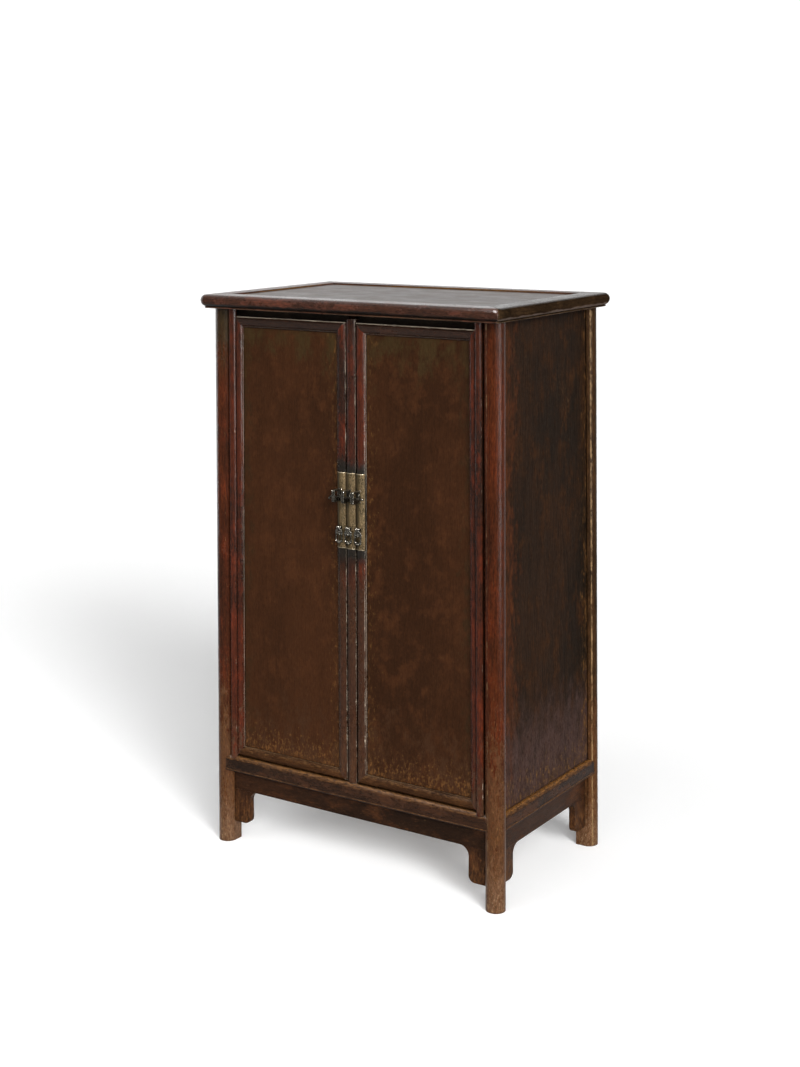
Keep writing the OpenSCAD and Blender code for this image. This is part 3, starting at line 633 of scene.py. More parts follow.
def stile_lacquer(name: str, tint: Tint, patches: tuple[Patch, ...] = HANDLING_AND_HIGHLIGHT, shine: float = 0.14,
                  rubbed: float = 0.9) -> Material:
    """Makes a stile's finish, which mirrors and is pale at the edges that the light reaches: rubbed wear with
    a painted highlight.
    """
    return Lacquer(name, Grain.UPRIGHT, tint, patches, PALE, rubbed, shine=shine, gloss=0.36,
                   edge=0.0014, lit=True, streaks=0.4, cloud=10.0).make()


# Shapes


def placed(name: str, data: bpy.types.ID) -> Object:
    """Adds an object to the scene.

    Args:
        name: The object's name.
        data: Its mesh, light or camera.

    Returns:
        The object.
    """
    thing = bpy.data.objects.new(name, data)
    bpy.context.scene.collection.objects.link(thing)
    return thing


def settled(carrier: Object, name: str) -> Object:
    """Puts a plain mesh in the place of an object with modifiers.

    Args:
        carrier: The object, which is removed.
        name: The name of the piece.

    Returns:
        The piece, at the origin.
    """
    bpy.context.view_layer.update()
    seen = carrier.evaluated_get(bpy.context.evaluated_depsgraph_get())
    mesh = bpy.data.meshes.new_from_object(seen)
    mesh.name = name
    bpy.data.objects.remove(carrier)
    return placed(name, mesh)


class Tree(Graph):
    """Builds one Geometry Nodes tree, with named inputs for its sizes."""

    def __init__(self, name: str) -> None:
        """Starts a tree that takes a mesh of points and edges.

        Args:
            name: The tree's name.
        """
        self.group = bpy.data.node_groups.new(name, "GeometryNodeTree")
        super().__init__(self.group)
        self.names: dict[str, str] = {}
        for way in ("OUTPUT", "INPUT"):
            self.socket("Geometry", way, "Geometry")
        self.entry = self.nodes.new("NodeGroupInput")
        self.exit = self.nodes.new("NodeGroupOutput")

    def size(self, name: str, kind: str) -> Socket:
        """Adds a named input of a kind and returns its socket inside the tree."""
        self.names[name] = self.socket(name, "INPUT", kind)
        return self.entry.outputs[name]

    def socket(self, name: str, way: str, kind: str) -> str:
        """Adds a socket to the tree's outside and returns its identifier."""
        return self.group.interface.new_socket(name, in_out=way, socket_type="NodeSocket" + kind).identifier

    def shape(self, kind: str, feeds: dict[str, object], **settings: object) -> Socket:
        """Adds one geometry node and returns its first output."""
        return self.step("GeometryNode" + kind, feeds, **settings).outputs[0]

    def close(self, geometry: Socket) -> None:
        """Ends the tree in smooth plain meshes with one finish.

        Args:
            geometry: What the tree has made.
        """
        smooth = self.shape("SetShadeSmooth", {"Geometry": geometry})
        real = self.shape("RealizeInstances", {"Geometry": smooth})
        dressed = self.shape("SetMaterial", {"Geometry": real, "Material": self.size("Finish", "Material")})
        self.links.new(dressed, self.exit.inputs[0])

    def grow(self, name: str, base: bpy.types.Mesh, **sizes: object) -> Object:
        """Runs the tree on a mesh of points and edges.

        Args:
            name: The name of the piece to make.
            base: The points and edges that the tree follows.
            sizes: The tree's inputs, by name with underscores for spaces.

        Returns:
            The piece, as a plain mesh at the origin.
        """
        carrier = placed(name + "_path", base)
        modifier = carrier.modifiers.new("grow", "NODES")
        modifier.node_group = self.group
        for key, value in sizes.items():
            modifier[self.names[key.replace("_", " ")]] = value
        return settled(carrier, name)


class Bars(Tree):
    """Sweeps a round section along every line, in evenly spaced copies."""

    def __init__(self) -> None:
        """Builds the tree."""
        super().__init__("round_bars")
        radius = self.size("Bar Radius", "Float")
        copies = self.size("Copies", "Int")
        spacing = self.size("Spacing", "Vector")
        facets = self.size("Facets", "Int")
        row = self.shape("MeshLine", {"Count": copies, "Offset": spacing})
        rows = self.shape("InstanceOnPoints", {"Points": row, "Instance": self.entry.outputs[0]})
        paths = self.shape("MeshToCurve", {"Mesh": self.shape("RealizeInstances", {"Geometry": rows})})
        section = self.shape("CurvePrimitiveCircle", {"Resolution": facets, "Radius": radius})
        self.close(self.shape("CurveToMesh", {"Curve": paths, "Profile Curve": section, "Fill Caps": True}))

    def sweep(self, name: str, lines: list[list[Vector]], radius: float, finish: Material, facets: int = 10,
              closed: bool = False, copies: int = 1, spacing: Axis = STILL) -> Object:
        """Makes bars along lines.

        Args:
            name: The name of the piece.
            lines: The points of each line.
            radius: The bars' radius.
            finish: Their finish.
            facets: The corners of their section.
            closed: Whether each line returns to its first point.
            copies: How many times the lines are repeated.
            spacing: The step from one copy to the next.

        Returns:
            The piece, as a plain mesh at the origin.
        """
        points: list[Vector] = []
        edges: list[tuple[int, int]] = []
        for line in lines:
            first = len(points)
            points += line
            edges += [(first + i, first + i + 1) for i in range(len(line) - 1)]
            if closed:
                edges.append((len(points) - 1, first))
        mesh = bpy.data.meshes.new("path")
        mesh.from_pydata(points, edges, [])
        return self.grow(name, mesh, Bar_Radius=radius, Copies=copies, Spacing=Vector(spacing), Facets=facets,
                         Finish=finish)


class Beads(Tree):
    """Sets a ball on every point, scaled by the points' own size."""

    def __init__(self) -> None:
        """Builds the tree."""
        super().__init__("beads")
        radius = self.size("Bead Radius", "Float")
        ball = self.shape("MeshUVSphere", {"Segments": 20, "Rings": 12, "Radius": radius})
        share = self.shape("InputNamedAttribute", {"Name": "size"}, data_type="FLOAT")
        self.close(self.shape("InstanceOnPoints",
                             {"Points": self.entry.outputs[0], "Instance": ball, "Scale": share}))

    def strew(self, name: str, spots: list[tuple[Vector, float]], radius: float, finish: Material) -> Object:
        """Makes beads.

        Args:
            name: The name of the piece.
            spots: Where each bead sits, and its size as a share of the radius.
            radius: The radius of a bead of size 1.
            finish: Their finish.

        Returns:
            The piece, as a plain mesh at the origin.
        """
        mesh = bpy.data.meshes.new("beads")
        mesh.from_pydata([place for place, _ in spots], [], [])
        mesh.attributes.new("size", "FLOAT", "POINT").data.foreach_set("value", [size for _, size in spots])
        return self.grow(name, mesh, Bead_Radius=radius, Finish=finish)


def straight(start: Vector, end: Vector, steps: int) -> list[Vector]:
    """Draws a straight line of evenly spaced points and returns them."""
    return [start.lerp(end, i / steps) for i in range(steps + 1)]


def eased(corners: Outline, steps: int = 6) -> Outline:
    """Draws a smooth closed line through corners.

    Args:
        corners: The corners, in order.
        steps: Points from one corner to the next.

    Returns:
        The line's points.
    """
    count = len(corners)
    line = []
    for i in range(count):
        p = [Vector(corners[(i + k) % count]) for k in (-1, 0, 1, 2)]
        for j in range(steps):
            t = j / steps
            spot = 0.5 * (2 * p[1] + (p[2] - p[0]) * t + (2 * p[0] - 5 * p[1] + 4 * p[2] - p[3]) * t ** 2
                          + (3 * p[1] - p[0] - 3 * p[2] + p[3]) * t ** 3)
            line.append((spot.x, spot.y))
    return line


def rounded(corners: Outline, radius: float, steps: int = 6) -> Outline:
    """Rounds the corners of a closed outline.

    Args:
        corners: The outline's corners, in order.
        radius: The radius at each corner.
        steps: Points round each corner.

    Returns:
        The rounded outline's points.
    """
    line = []
    for i, corner in enumerate(corners):
        here = Vector(corner)
        before = (Vector(corners[i - 1]) - here).normalized()
        after = (Vector(corners[(i + 1) % len(corners)]) - here).normalized()
        reach = radius / math.tan(before.angle(after) / 2)
        a, b = here + before * reach, here + after * reach
        for j in range(steps + 1):
            t = j / steps
            spot = (1 - t) ** 2 * a + 2 * t * (1 - t) * here + t ** 2 * b
            line.append((spot.x, spot.y))
    return line


def oblong(low: tuple[float, float], high: tuple[float, float]) -> Outline:
    """Draws a rectangle between two of its corners and returns it."""
    return [low, (high[0], low[1]), high, (low[0], high[1])]


def joined(name: str, pieces: list[Object]) -> Object:
    """Joins meshes into one piece.

    Args:
        name: The piece's name.
        pieces: The meshes, which are removed. The first gives the finish.

    Returns:
        The joined piece.
    """
    shape = bmesh.new()
    finish = pieces[0].data.materials[0]
    for piece in pieces:
        shape.from_mesh(piece.data)
    for face in shape.faces:
        face.material_index = 0
    mesh = bpy.data.meshes.new(name)
    shape.to_mesh(mesh)
    shape.free()
    for piece in pieces:
        bpy.data.objects.remove(piece)
    mesh.materials.append(finish)
    return placed(name, mesh)


def report(piece: Object, body: str, replaced: str | None = None) -> None:
    """Sets a new piece on its body and reports it.

    Args:
        piece: The piece.
        body: The body that it rides on.
        replaced: The CAD node that it stands for, if any.
    """
    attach(piece, body)
    if replaced:
        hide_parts(replaced)
    LOG.info("%s: %d faces, on %s", piece.name, len(piece.data.polygons), body)


def dress(material: Material, *nodes: str) -> None:
    """Gives CAD nodes a finish.

    Args:
        material: The finish.
        nodes: The nodes' names.
    """
    for name in nodes:
        for holder in frame["nodes"][name].material_slots:
            holder.material = material
        LOG.info("%s: %s", name, material.name)


def polish(material: Material, *nodes: str) -> None:
    """Shows CAD nodes by copies whose round faces are smooth, and gives them a finish.

    Args:
        material: The finish.
        nodes: The nodes' names.
    """
    for name in nodes:
        node = frame["nodes"][name]
        shape = bmesh.new()
        shape.from_mesh(node.data)
        bmesh.ops.remove_doubles(shape, verts=shape.verts, dist=WELD)
        mesh = bpy.data.meshes.new(name + "_smooth")
        shape.to_mesh(mesh)
        shape.free()
        mesh.shade_smooth()
        mesh.set_sharp_from_angle(angle=CREASE)
        mesh.materials.append(material)
        mesh.polygons.foreach_set("material_index", [0] * len(mesh.polygons))
        carrier = placed(name + "_facets", mesh)
        even = carrier.modifiers.new("even", "WEIGHTED_NORMAL")
        even.keep_sharp = True
        even.weight = EVENING
        report(settled(carrier, name + "_smooth"), node["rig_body"], name)


# The cabinet's woodwork


@dataclass
class TopFrame:
    """The mitred frame and the sunk panel of the top."""

    red: Tint = ((0.022, 0.009, 0.0055), (0.048, 0.017, 0.009), (0.100, 0.026, 0.013))
    dark: Tint = ((0.010, 0.006, 0.003), (0.018, 0.010, 0.005), (0.040, 0.022, 0.010))
    grey: Tint = ((0.040, 0.026, 0.020), (0.062, 0.042, 0.032), (0.085, 0.056, 0.040))
    # The right member's underside takes this pale colour as a painted reflection
    pale_lip: Colour = (0.085, 0.062, 0.050)
    panel_worn: float = 0.13
    panel_back: float = 0.149

    def member(self, side: str, grain: Grain, inward: Axis, tint: Tint, worn: float, gloss: float,
               gloss_up: float = 0.16, lip: Colour = SOOT_AND_SHADE) -> None:
        """Dresses a member.

        Args:
            side: The side that it lies on.
            grain: The way its grain runs.
            inward: The way its inner face looks.
            tint: Its colours.
            worn: How worn that face is.
            gloss: How much its outer face mirrors.
            gloss_up: How much its top mirrors.
            lip: The colour painted on its underside: painted shade by default, a painted reflection on the
                right member.
        """
        patches = (
            Patch(inward, 0.5, 0.9, OCHRE, worn, 90.0, Reads.FACING),
            # The underside in the lip colour: painted shade, and on the right member a painted reflection
            # instead
            Patch(UP, -0.2, -0.8, lip, 0.8, 40.0, Reads.FACING),
        )
        polish(Lacquer(f"top_{side}_lacquer", grain, tint, patches, rubbed=0.5, shine=0.26, gloss=gloss,
                       gloss_up=gloss_up, streaks=0.4, flecks=0.5).make(), f"top_{side}_member")

    def dress(self) -> None:
        """Gives the members and the panel their finishes."""
        self.member("front", Grain.ACROSS, BACK, self.red, worn=0.5, gloss=0.30)
        self.member("back", Grain.ACROSS, FRONT, self.red, worn=1.0, gloss=0.03)
        self.member("left", Grain.DEEP, RIGHT, self.red, worn=0.8, gloss=0.03)
        self.member("right", Grain.DEEP, LEFT, self.dark, worn=0.8, gloss=0.0, gloss_up=0.05,
                    lip=self.pale_lip)
        patches = (Patch(BACK, self.panel_worn, self.panel_back, OCHRE, 0.6, 60.0),)
        dress(Lacquer("top_panel_lacquer", Grain.ACROSS, self.grey, patches, rubbed=0.3, streaks=0.55,
                      shine=0.46, gloss=0.42, cloud=4.0).make(), "top_panel")


@dataclass
class Posts:
    """The four splayed posts."""

    foot: float = 0.03
    bare: float = 0.17
    red: Tint = ((0.026, 0.0075, 0.003), (0.050, 0.0115, 0.0035), (0.075, 0.0135, 0.0035))
    brown: Tint = ((0.018, 0.009, 0.004), (0.032, 0.015, 0.006), (0.046, 0.020, 0.007))

    def post(self, place: str, tint: Tint, rub: Axis, smoked: float, rubbed: float, gloss: float) -> None:
        """Dresses a post.

        Args:
            place: Its corner.
            tint: Its colours.
            rub: The way the surface faces along its line of wear and painted highlight.
            smoked: How olive it is at the top.
            rubbed: How strong that line of wear and painted highlight is.
            gloss: How much it mirrors.
        """
        patches = (
            Patch(UP, 0.76, 0.95, OLIVE, smoked, 14.0, ragged=1.2),
            Patch(UP, 0.52, 0.14, (0.060, 0.024, 0.009), 0.75, 40.0, ragged=1.8),
            Patch(UP, 0.60, 0.05, (0.110, 0.055, 0.020), 0.26, 200.0, ragged=3.4),
            Patch(UP, self.bare, self.foot, RAW, 0.62, 110.0),
            Patch(UP, 0.12, 0.0, (0.190, 0.125, 0.072), 0.28, 230.0, ragged=3.4),
            # A thin line where the post faces one way: wear with a painted highlight
            Patch(rub, 0.992, 0.999, (0.170, 0.105, 0.048), rubbed, 70.0, Reads.FACING),
        )
        polish(Lacquer(f"{place}_post_lacquer", Grain.UPRIGHT, tint, patches, shine=0.20, gloss=gloss,
                       rubbed=0.15, streaks=0.5, cloud=9.0, grime=0.5).make(), f"{place}_post")

    def dress(self) -> None:
        """Gives the posts their finishes."""
        self.post("front_right", self.red, (-0.35, -0.94, 0.0), 0.25, 0.35, 0.10)
        self.post("front_left", self.red, (0.55, -0.83, 0.0), 0.72, 0.35, 0.20)
        self.post("back_right", self.brown, (0.80, -0.60, 0.0), 0.4, 0.62, 0.03)
        self.post("back_left", self.brown, (-0.97, 0.25, 0.0), 0.4, 0.4, 0.03)


@dataclass
class Base:
    """The bottom rails, aprons and spandrels."""

    tint: Tint = ((0.013, 0.0062, 0.0034), (0.025, 0.0100, 0.0045), (0.056, 0.0195, 0.0065))

    def rail(self, name: str, grain: Grain, gloss: float) -> Material:
        """Makes a rail's finish, worn golden on its rounded upper edge, with painted shade and a painted grey
        sheen on the faces turned down.

        Args:
            name: The finish's name.
            grain: The way its grain runs.
            gloss: How much it mirrors.

        Returns:
            The finish.
        """
        patches = (
            # Painted shade with a painted grey sheen on the faces turned down
            Patch(UP, 0.10, -0.35, (0.017, 0.011, 0.011), 0.75, 40.0, Reads.FACING, ragged=1.0),
            Patch(UP, -0.10, 0.55, (0.074, 0.030, 0.008), 0.62, 150.0, Reads.FACING, ragged=3.0),
            Patch(UP, 0.35, 0.85, (0.160, 0.068, 0.016), 0.55, 190.0, Reads.FACING, ragged=3.4),
        )
        return Lacquer(name, grain, self.tint, patches, rubbed=0.10, shine=0.26, gloss=gloss,
                       flecks=0.5).make()

    def apron(self, name: str, grain: Grain) -> Material:
        """Makes an apron's finish, worn along its lower edge.

        Args:
            name: The finish's name.
            grain: The way its grain runs.

        Returns:
            The finish.
        """
        patches = (
            Patch(UP, 0.140, 0.05, (0.070, 0.028, 0.009), 0.50, 130.0, ragged=3.4),
            Patch(UP, -0.2, -0.8, GOLD, 0.6, 120.0, Reads.FACING, ragged=3.2),
        )
        return Lacquer(name, grain, self.tint, patches, shine=0.40, rubbed=0.0, flecks=0.6).make()

    def dress(self) -> None:
        """Gives the rails, aprons and spandrels their finishes."""
        polish(self.rail("long_rail_lacquer", Grain.ACROSS, 0.27), "front_rail", "back_rail")
        polish(self.rail("side_rail_lacquer", Grain.DEEP, 0.07), "left_rail", "right_rail")
        polish(self.apron("long_apron_lacquer", Grain.ACROSS), "front_apron", "back_apron")
        polish(self.apron("side_apron_lacquer", Grain.DEEP), "left_apron", "right_apron")
        polish(self.apron("spandrel_lacquer", Grain.UPRIGHT), "front_spandrels", "back_spandrels",
               "left_spandrels", "right_spandrels")


@dataclass
class Carcass:
    """The sides, the back, the floor, the shelves and the strip over the doors."""

    low: float = 0.168
    back_edge: float = 0.150
    side: Tint = ((0.0105, 0.0065, 0.0040), (0.0185, 0.0088, 0.0043), (0.034, 0.0135, 0.0050))
    strip: Tint = ((0.010, 0.007, 0.005), (0.018, 0.012, 0.008), (0.030, 0.018, 0.011))
    bare: Tint = ((0.060, 0.036, 0.022), (0.110, 0.070, 0.042), (0.150, 0.098, 0.058))

    def sides(self) -> Material:
        """Makes the side panels' finish: dark and streaked, redder in front, worn below and behind, with a
        painted grey sheen over the lower half.

        Returns:
            The finish.
        """
        patches = (
            Patch(FRONT, 0.03, 0.15, (0.052, 0.0160, 0.006), 0.62, 40.0, ragged=1.8),
            # A painted grey sheen over the lower half
            Patch(UP, 0.50, 0.22, (0.042, 0.024, 0.020), 0.62, 26.0, ragged=0.9),
            Patch(UP, 0.270, self.low, (0.100, 0.050, 0.017), 0.34, 90.0, ragged=3.4),
            Patch(BACK, 0.105, self.back_edge, OCHRE, 0.40, 60.0, ragged=3.4),
        )
        return Lacquer("side_panel_lacquer", Grain.UPRIGHT, self.side, patches, streaks=0.55, gloss=0.01,
                       cloud=7.0, flecks=0.30, grime=0.4).make()

    def wood(self, name: str, grain: Grain) -> Material:
        """Makes the finish of bare wood and returns it."""
        return Lacquer(name, grain, self.bare, streaks=0.6, shine=0.6, rubbed=0.4).make()

    def dress(self) -> None:
        """Gives the carcass its finishes."""
        dress(self.sides(), "left_side_panel", "right_side_panel")
        dress(self.wood("back_wood", Grain.UPRIGHT), "back_left_panel", "back_right_panel", "back_stile")
        dress(self.wood("shelf_wood", Grain.ACROSS), "floor_panel", "lower_shelf", "upper_shelf",
              "left_door_battens", "right_door_battens")
        dress(self.wood("brace_wood", Grain.DEEP), "floor_braces", "top_braces", "shelf_battens")
        dress(Lacquer("stop_strip_lacquer", Grain.ACROSS, self.strip, rubbed=0.2, shine=0.5).make(),
              "door_stop_strip")


@dataclass
class Door:
    """One door: its moulded frame and its panel."""

    hand: Hand
    inner_x: float = 0.0295
    outer_x: float = 0.2421
    low: float = 0.188
    high: float = 0.945
    stile: Tint = ((0.016, 0.006, 0.0032), (0.046, 0.0100, 0.0038), (0.090, 0.0135, 0.0035))
    top: Tint = ((0.012, 0.006, 0.004), (0.022, 0.010, 0.006), (0.036, 0.013, 0.006))
    foot: Tint = ((0.022, 0.0088, 0.0036), (0.040, 0.0155, 0.0052), (0.066, 0.026, 0.008))
    middle: Tint = ((0.023, 0.0089, 0.0036), (0.034, 0.0124, 0.0047), (0.046, 0.0163, 0.0058))

    def panel(self) -> Material:
        """Makes the panel's finish.

        Returns:
            Brown lacquer, ochre along the bottom and the meeting edge, darker at the top.
        """
        side = float(self.hand.value)
        leaning = (side, 0.0, STANCE.slope_x)
        patches = (
            Patch(UP, self.high - 0.13, self.high, (0.030, 0.0175, 0.0065), 0.62, 9.0),
            Patch(leaning, self.outer_x - 0.05, self.outer_x, (0.024, 0.012, 0.005), 0.5, 30.0),
            Patch(UP, 0.42, self.low, (0.036, 0.0155, 0.007), 0.55, 26.0),
            Patch(UP, self.low + 0.09, self.low - 0.004, (0.095, 0.041, 0.013), 0.44, 110.0, ragged=3.2),
            Patch((-side, 0.0, 0.0), -self.inner_x - 0.045, -self.inner_x + 0.004, (0.085, 0.038, 0.012),
                  0.34, 90.0, ragged=3.0),
        )
        return Lacquer(f"{self.hand.word}_door_panel_lacquer", Grain.UPRIGHT, self.middle, patches,
                       streaks=0.16, shine=0.50, gloss=0.03, cloud=5.0, mottle=0.85, flecks=0.12,
                       tooth=0.42).make()

    def stiles(self) -> None:
        """Gives the two stiles their finishes."""
        word = self.hand.word
        fade = Patch(UP, 0.40, 0.17, (0.045, 0.020, 0.009), 0.6, 50.0)
        # Painted highlight with some wear: a pale line where the hinge stile's face turns to the right
        line = Patch(RIGHT, 0.05, 0.01, PALE, 0.18, 60.0, Reads.FACING, middle=0.84, ragged=3.0)
        polish(stile_lacquer(f"{word}_hinge_stile_lacquer", self.stile, (fade, line), 0.15, 0.8),
               f"{word}_hinge_stile")
        polish(stile_lacquer(f"{word}_meeting_stile_lacquer", self.stile), f"{word}_meeting_stile")

    def rails(self) -> None:
        """Gives the two rails their finishes."""
        word = self.hand.word
        # Painted highlight: a pale line where the top rail's face turns up, and pale edges on the sides the
        # light reaches
        line = Patch(UP, 0.12, 0.04, PALE, 0.80, 60.0, Reads.FACING, middle=0.80, ragged=1.6)
        polish(Lacquer(f"{word}_door_top_lacquer", Grain.ACROSS, self.top, (line,), PALE, 0.8, shine=0.22,
                       gloss=0.50, edge=0.0014, lit=True).make(), f"{word}_door_top_rail")
        worn = Patch(UP, -0.2, 0.7, (0.082, 0.037, 0.012), 0.48, 150.0, Reads.FACING, ragged=3.2)
        polish(Lacquer(f"{word}_door_bottom_lacquer", Grain.ACROSS, self.foot, (worn,), rubbed=0.8,
                       shine=0.34, flecks=0.5).make(), f"{word}_door_bottom_rail")

    def dress(self) -> None:
        """Gives the door's pieces their finishes."""
        dress(self.panel(), f"{self.hand.word}_door_panel")
        self.stiles()
        self.rails()


@dataclass
class CentreStile:
    """The loose stile between the doors."""

    tint: Tint = ((0.018, 0.007, 0.004), (0.042, 0.010, 0.0045), (0.078, 0.013, 0.004))

    def dress(self) -> None:
        """Gives the stile its finish."""
        polish(stile_lacquer("centre_stile_lacquer", self.tint), "centre_stile")


# The metal fittings

# The plates' brass has lit set: painted highlight specks on its right-facing side, painted shade on the other
BRASS = Patina("aged_brass", (0.042, 0.030, 0.012), (0.132, 0.088, 0.038), (0.500, 0.360, 0.200), lit=0.62)
RIM = Patina("bright_brass", (0.130, 0.100, 0.058), (0.260, 0.215, 0.145), (0.600, 0.540, 0.420))
IRON = Patina("dark_metal", (0.018, 0.015, 0.011), (0.105, 0.092, 0.070), (0.760, 0.720, 0.640), shine=0.26,
              cloud=320.0, edge=0.0009, metal=0.93)


class Smithy:
    """What the fittings are made with: the trees for bars and beads, and the three metals."""

    def __init__(self) -> None:
        """Builds the metals and the trees."""
        self.brass, self.rim, self.iron = (metal.make() for metal in (BRASS, RIM, IRON))
        self.bars, self.beads = Bars(), Beads()


@dataclass
class LockSet:
    """One plate with its lock lug, staple and pull.

    Heights are up the leaning front. The pull's drawing is in millimetres from the staple's pin,
    to the right and up, and its knobs also have a radius.
    """

    smithy: Smithy
    hand: Hand
    pitch: float = 19.25 * MM
    plate_h: float = 130.0 * MM
    plate_t: float = 1.15 * MM
    plate_inset: float = 0.6 * MM
    face_fall: float = 5.0 * MM
    rim_r: float = 0.55 * MM
    rim_inset: float = 0.8 * MM
    lug_low: float = 665.0 * MM
    lug_high: float = 686.0 * MM
    lug_tip: float = 33.0 * MM
    lug_t: float = 5.0 * MM
    lug_round: float = 1.6 * MM
    lug_ease: float = 0.6 * MM
    slot_low: Span = (16.4 * MM, 672.4 * MM)
    slot_high: Span = (29.4 * MM, 683.4 * MM)
    slot_round: float = 2.2 * MM
    rib_r: float = 0.95 * MM
    rib_pitch: float = 2.0 * MM
    rib_inset: float = 1.2 * MM
    foot_r: float = 0.9 * MM
    foot_half: float = 3.4 * MM
    pull_z: float = 619.5 * MM
    pull_stand: float = 4.0 * MM
    loop_r: float = 1.25 * MM
    scroll_r: float = 0.8 * MM
    eye_r: float = 0.72 * MM
    eye_pitch: float = 1.1 * MM
    bridge_r: float = 0.75 * MM
    half: tuple[Span, ...] = (
        (0.0, -3.0), (2.7, -3.5), (5.2, -5.2), (6.2, -8.0), (5.7, -11.0), (5.4, -14.5), (5.7, -18.0),
        (6.2, -20.6), (4.8, -22.8), (2.2, -22.4), (0.0, -22.9))
    knobs: tuple[Axis, ...] = (
        (0.0, -25.6, 2.3), (-4.9, -23.4, 2.0), (4.9, -23.4, 2.0), (-2.6, -25.2, 1.4), (2.6, -25.2, 1.4),
        (0.0, -11.4, 1.9), (-5.6, -5.0, 1.6), (5.6, -5.0, 1.6), (0.0, -3.2, 2.0), (0.0, -7.4, 1.3),
        (-5.9, -10.0, 1.5), (5.9, -10.0, 1.5))

    @property
    def x(self) -> float:
        """The middle of the set."""
        return self.pitch * self.hand.value

    @property
    def crown(self) -> float:
        """The front of the stile that it sits on."""
        return (11.5 if self.hand is Hand.CENTRE else 11.0) * MM

    @property
    def face_w(self) -> float:
        """The width of the stile's rounded face."""
        return (18.0 if self.hand is Hand.CENTRE else 16.5) * MM

    @property
    def body(self) -> str:
        """The body that the set is fixed to."""
        return "centre_stile" if self.hand is Hand.CENTRE else f"{self.hand.word}_door"

    def arc(self, up: float, steps: int = 24) -> list[Vector]:
        """Draws a line round the plate's front.

        Args:
            up: The line's height up the front.
            steps: Points along the line.

        Returns:
            The line's points.
        """
        radius = ((self.face_w / 2) ** 2 + self.face_fall ** 2) / (2 * self.face_fall)
        centre, outer = self.crown - radius, radius + self.plate_t
        half = math.asin((self.face_w / 2 - self.plate_inset) / outer)
        turns = [half * (2 * i / steps - 1) for i in range(steps + 1)]
        return [STANCE.front(self.x + outer * math.sin(a), centre + outer * math.cos(a), up) for a in turns]

    def rims(self) -> Object:
        """Makes the raised rims at the plate's two ends.

        Returns:
            The rims.
        """
        low = PLATE_Z - self.plate_h / 2 + self.rim_inset
        rise = STANCE.front(0, 0, self.plate_h - 2 * self.rim_inset) - STANCE.front(0, 0, 0)
        return self.smithy.bars.sweep(f"{self.hand.word}_plate_rims", [self.arc(low)], self.rim_r,
                                      self.smithy.rim, facets=12, copies=2, spacing=rise)

    def loop(self, outer: Outline, inner: Outline) -> Object:
        """Cuts a lug from a sheet of metal and eases its edges.

        Args:
            outer: Its outline, as distance forward and height.
            inner: The outline of its opening.

        Returns:
            The lug's body.
        """
        shape = bmesh.new()
        edges = []
        for line in (outer, inner):
            spots = [shape.verts.new(STANCE.front(self.x - self.lug_t / 2, v, z)) for v, z in line]
            edges += [shape.edges.new((a, spots[(i + 1) % len(spots)])) for i, a in enumerate(spots)]
        sheet = bmesh.ops.triangle_fill(shape, use_beauty=True, edges=edges)
        faces = [g for g in sheet["geom"] if isinstance(g, bmesh.types.BMFace)]
        grown = bmesh.ops.extrude_face_region(shape, geom=faces)
        moved = [g for g in grown["geom"] if isinstance(g, bmesh.types.BMVert)]
        bmesh.ops.translate(shape, verts=moved, vec=(self.lug_t, 0.0, 0.0))
        bmesh.ops.recalc_face_normals(shape, faces=shape.faces)
        rims = [e for e in shape.edges if e.calc_face_angle(0.0) > SQUARE]
        bmesh.ops.bevel(shape, geom=rims, offset=self.lug_ease, segments=3, profile=0.5, affect="EDGES")
        mesh = bpy.data.meshes.new("lug")
        shape.to_mesh(mesh)
        shape.free()
        mesh.materials.append(self.smithy.iron)
        mesh.shade_smooth()
        return placed("lug", mesh)

    def lug(self) -> Object:
        """Makes the lock lug, with ribs down its tip and a flange at its foot.

        Returns:
            The lug.
        """
        word, bars, iron = self.hand.word, self.smithy.bars, self.smithy.iron
        back = self.crown + self.plate_t + 0.1 * MM
        tip = self.lug_tip - 0.5 * MM
        outer = rounded(oblong((back, self.lug_low), (tip, self.lug_high)), self.lug_round)
        body = self.loop(outer, rounded(oblong(self.slot_low, self.slot_high), self.slot_round))
        ends = [STANCE.front(self.x - self.rib_pitch, tip, up)
                for up in (self.lug_low + self.rib_inset, self.lug_high - self.rib_inset)]
        ribs = bars.sweep(f"{word}_ribs", [straight(*ends, 8)], self.rib_r, iron, facets=12, copies=3,
                          spacing=(self.rib_pitch, 0.0, 0.0))
        foot = [[STANCE.front(self.x + s * self.foot_half, back + 0.2 * MM, up) for s in (-1.0, 0.0, 1.0)]
                for up in (self.lug_low + 1.0 * MM, self.lug_high - 1.0 * MM)]
        flange = bars.sweep(f"{word}_flange", foot, self.foot_r, iron)
        return joined(f"{word}_lock_loop", [body, ribs, flange])

    def spot(self, x: float, up: float, out: float = 0.0) -> Vector:
        """Turns a place on the pull, in millimetres from its pin, into a place in the room."""
        axis = self.crown + self.plate_t + self.pull_stand
        return STANCE.front(self.x + x * MM, axis + out * MM, self.pull_z + up * MM)

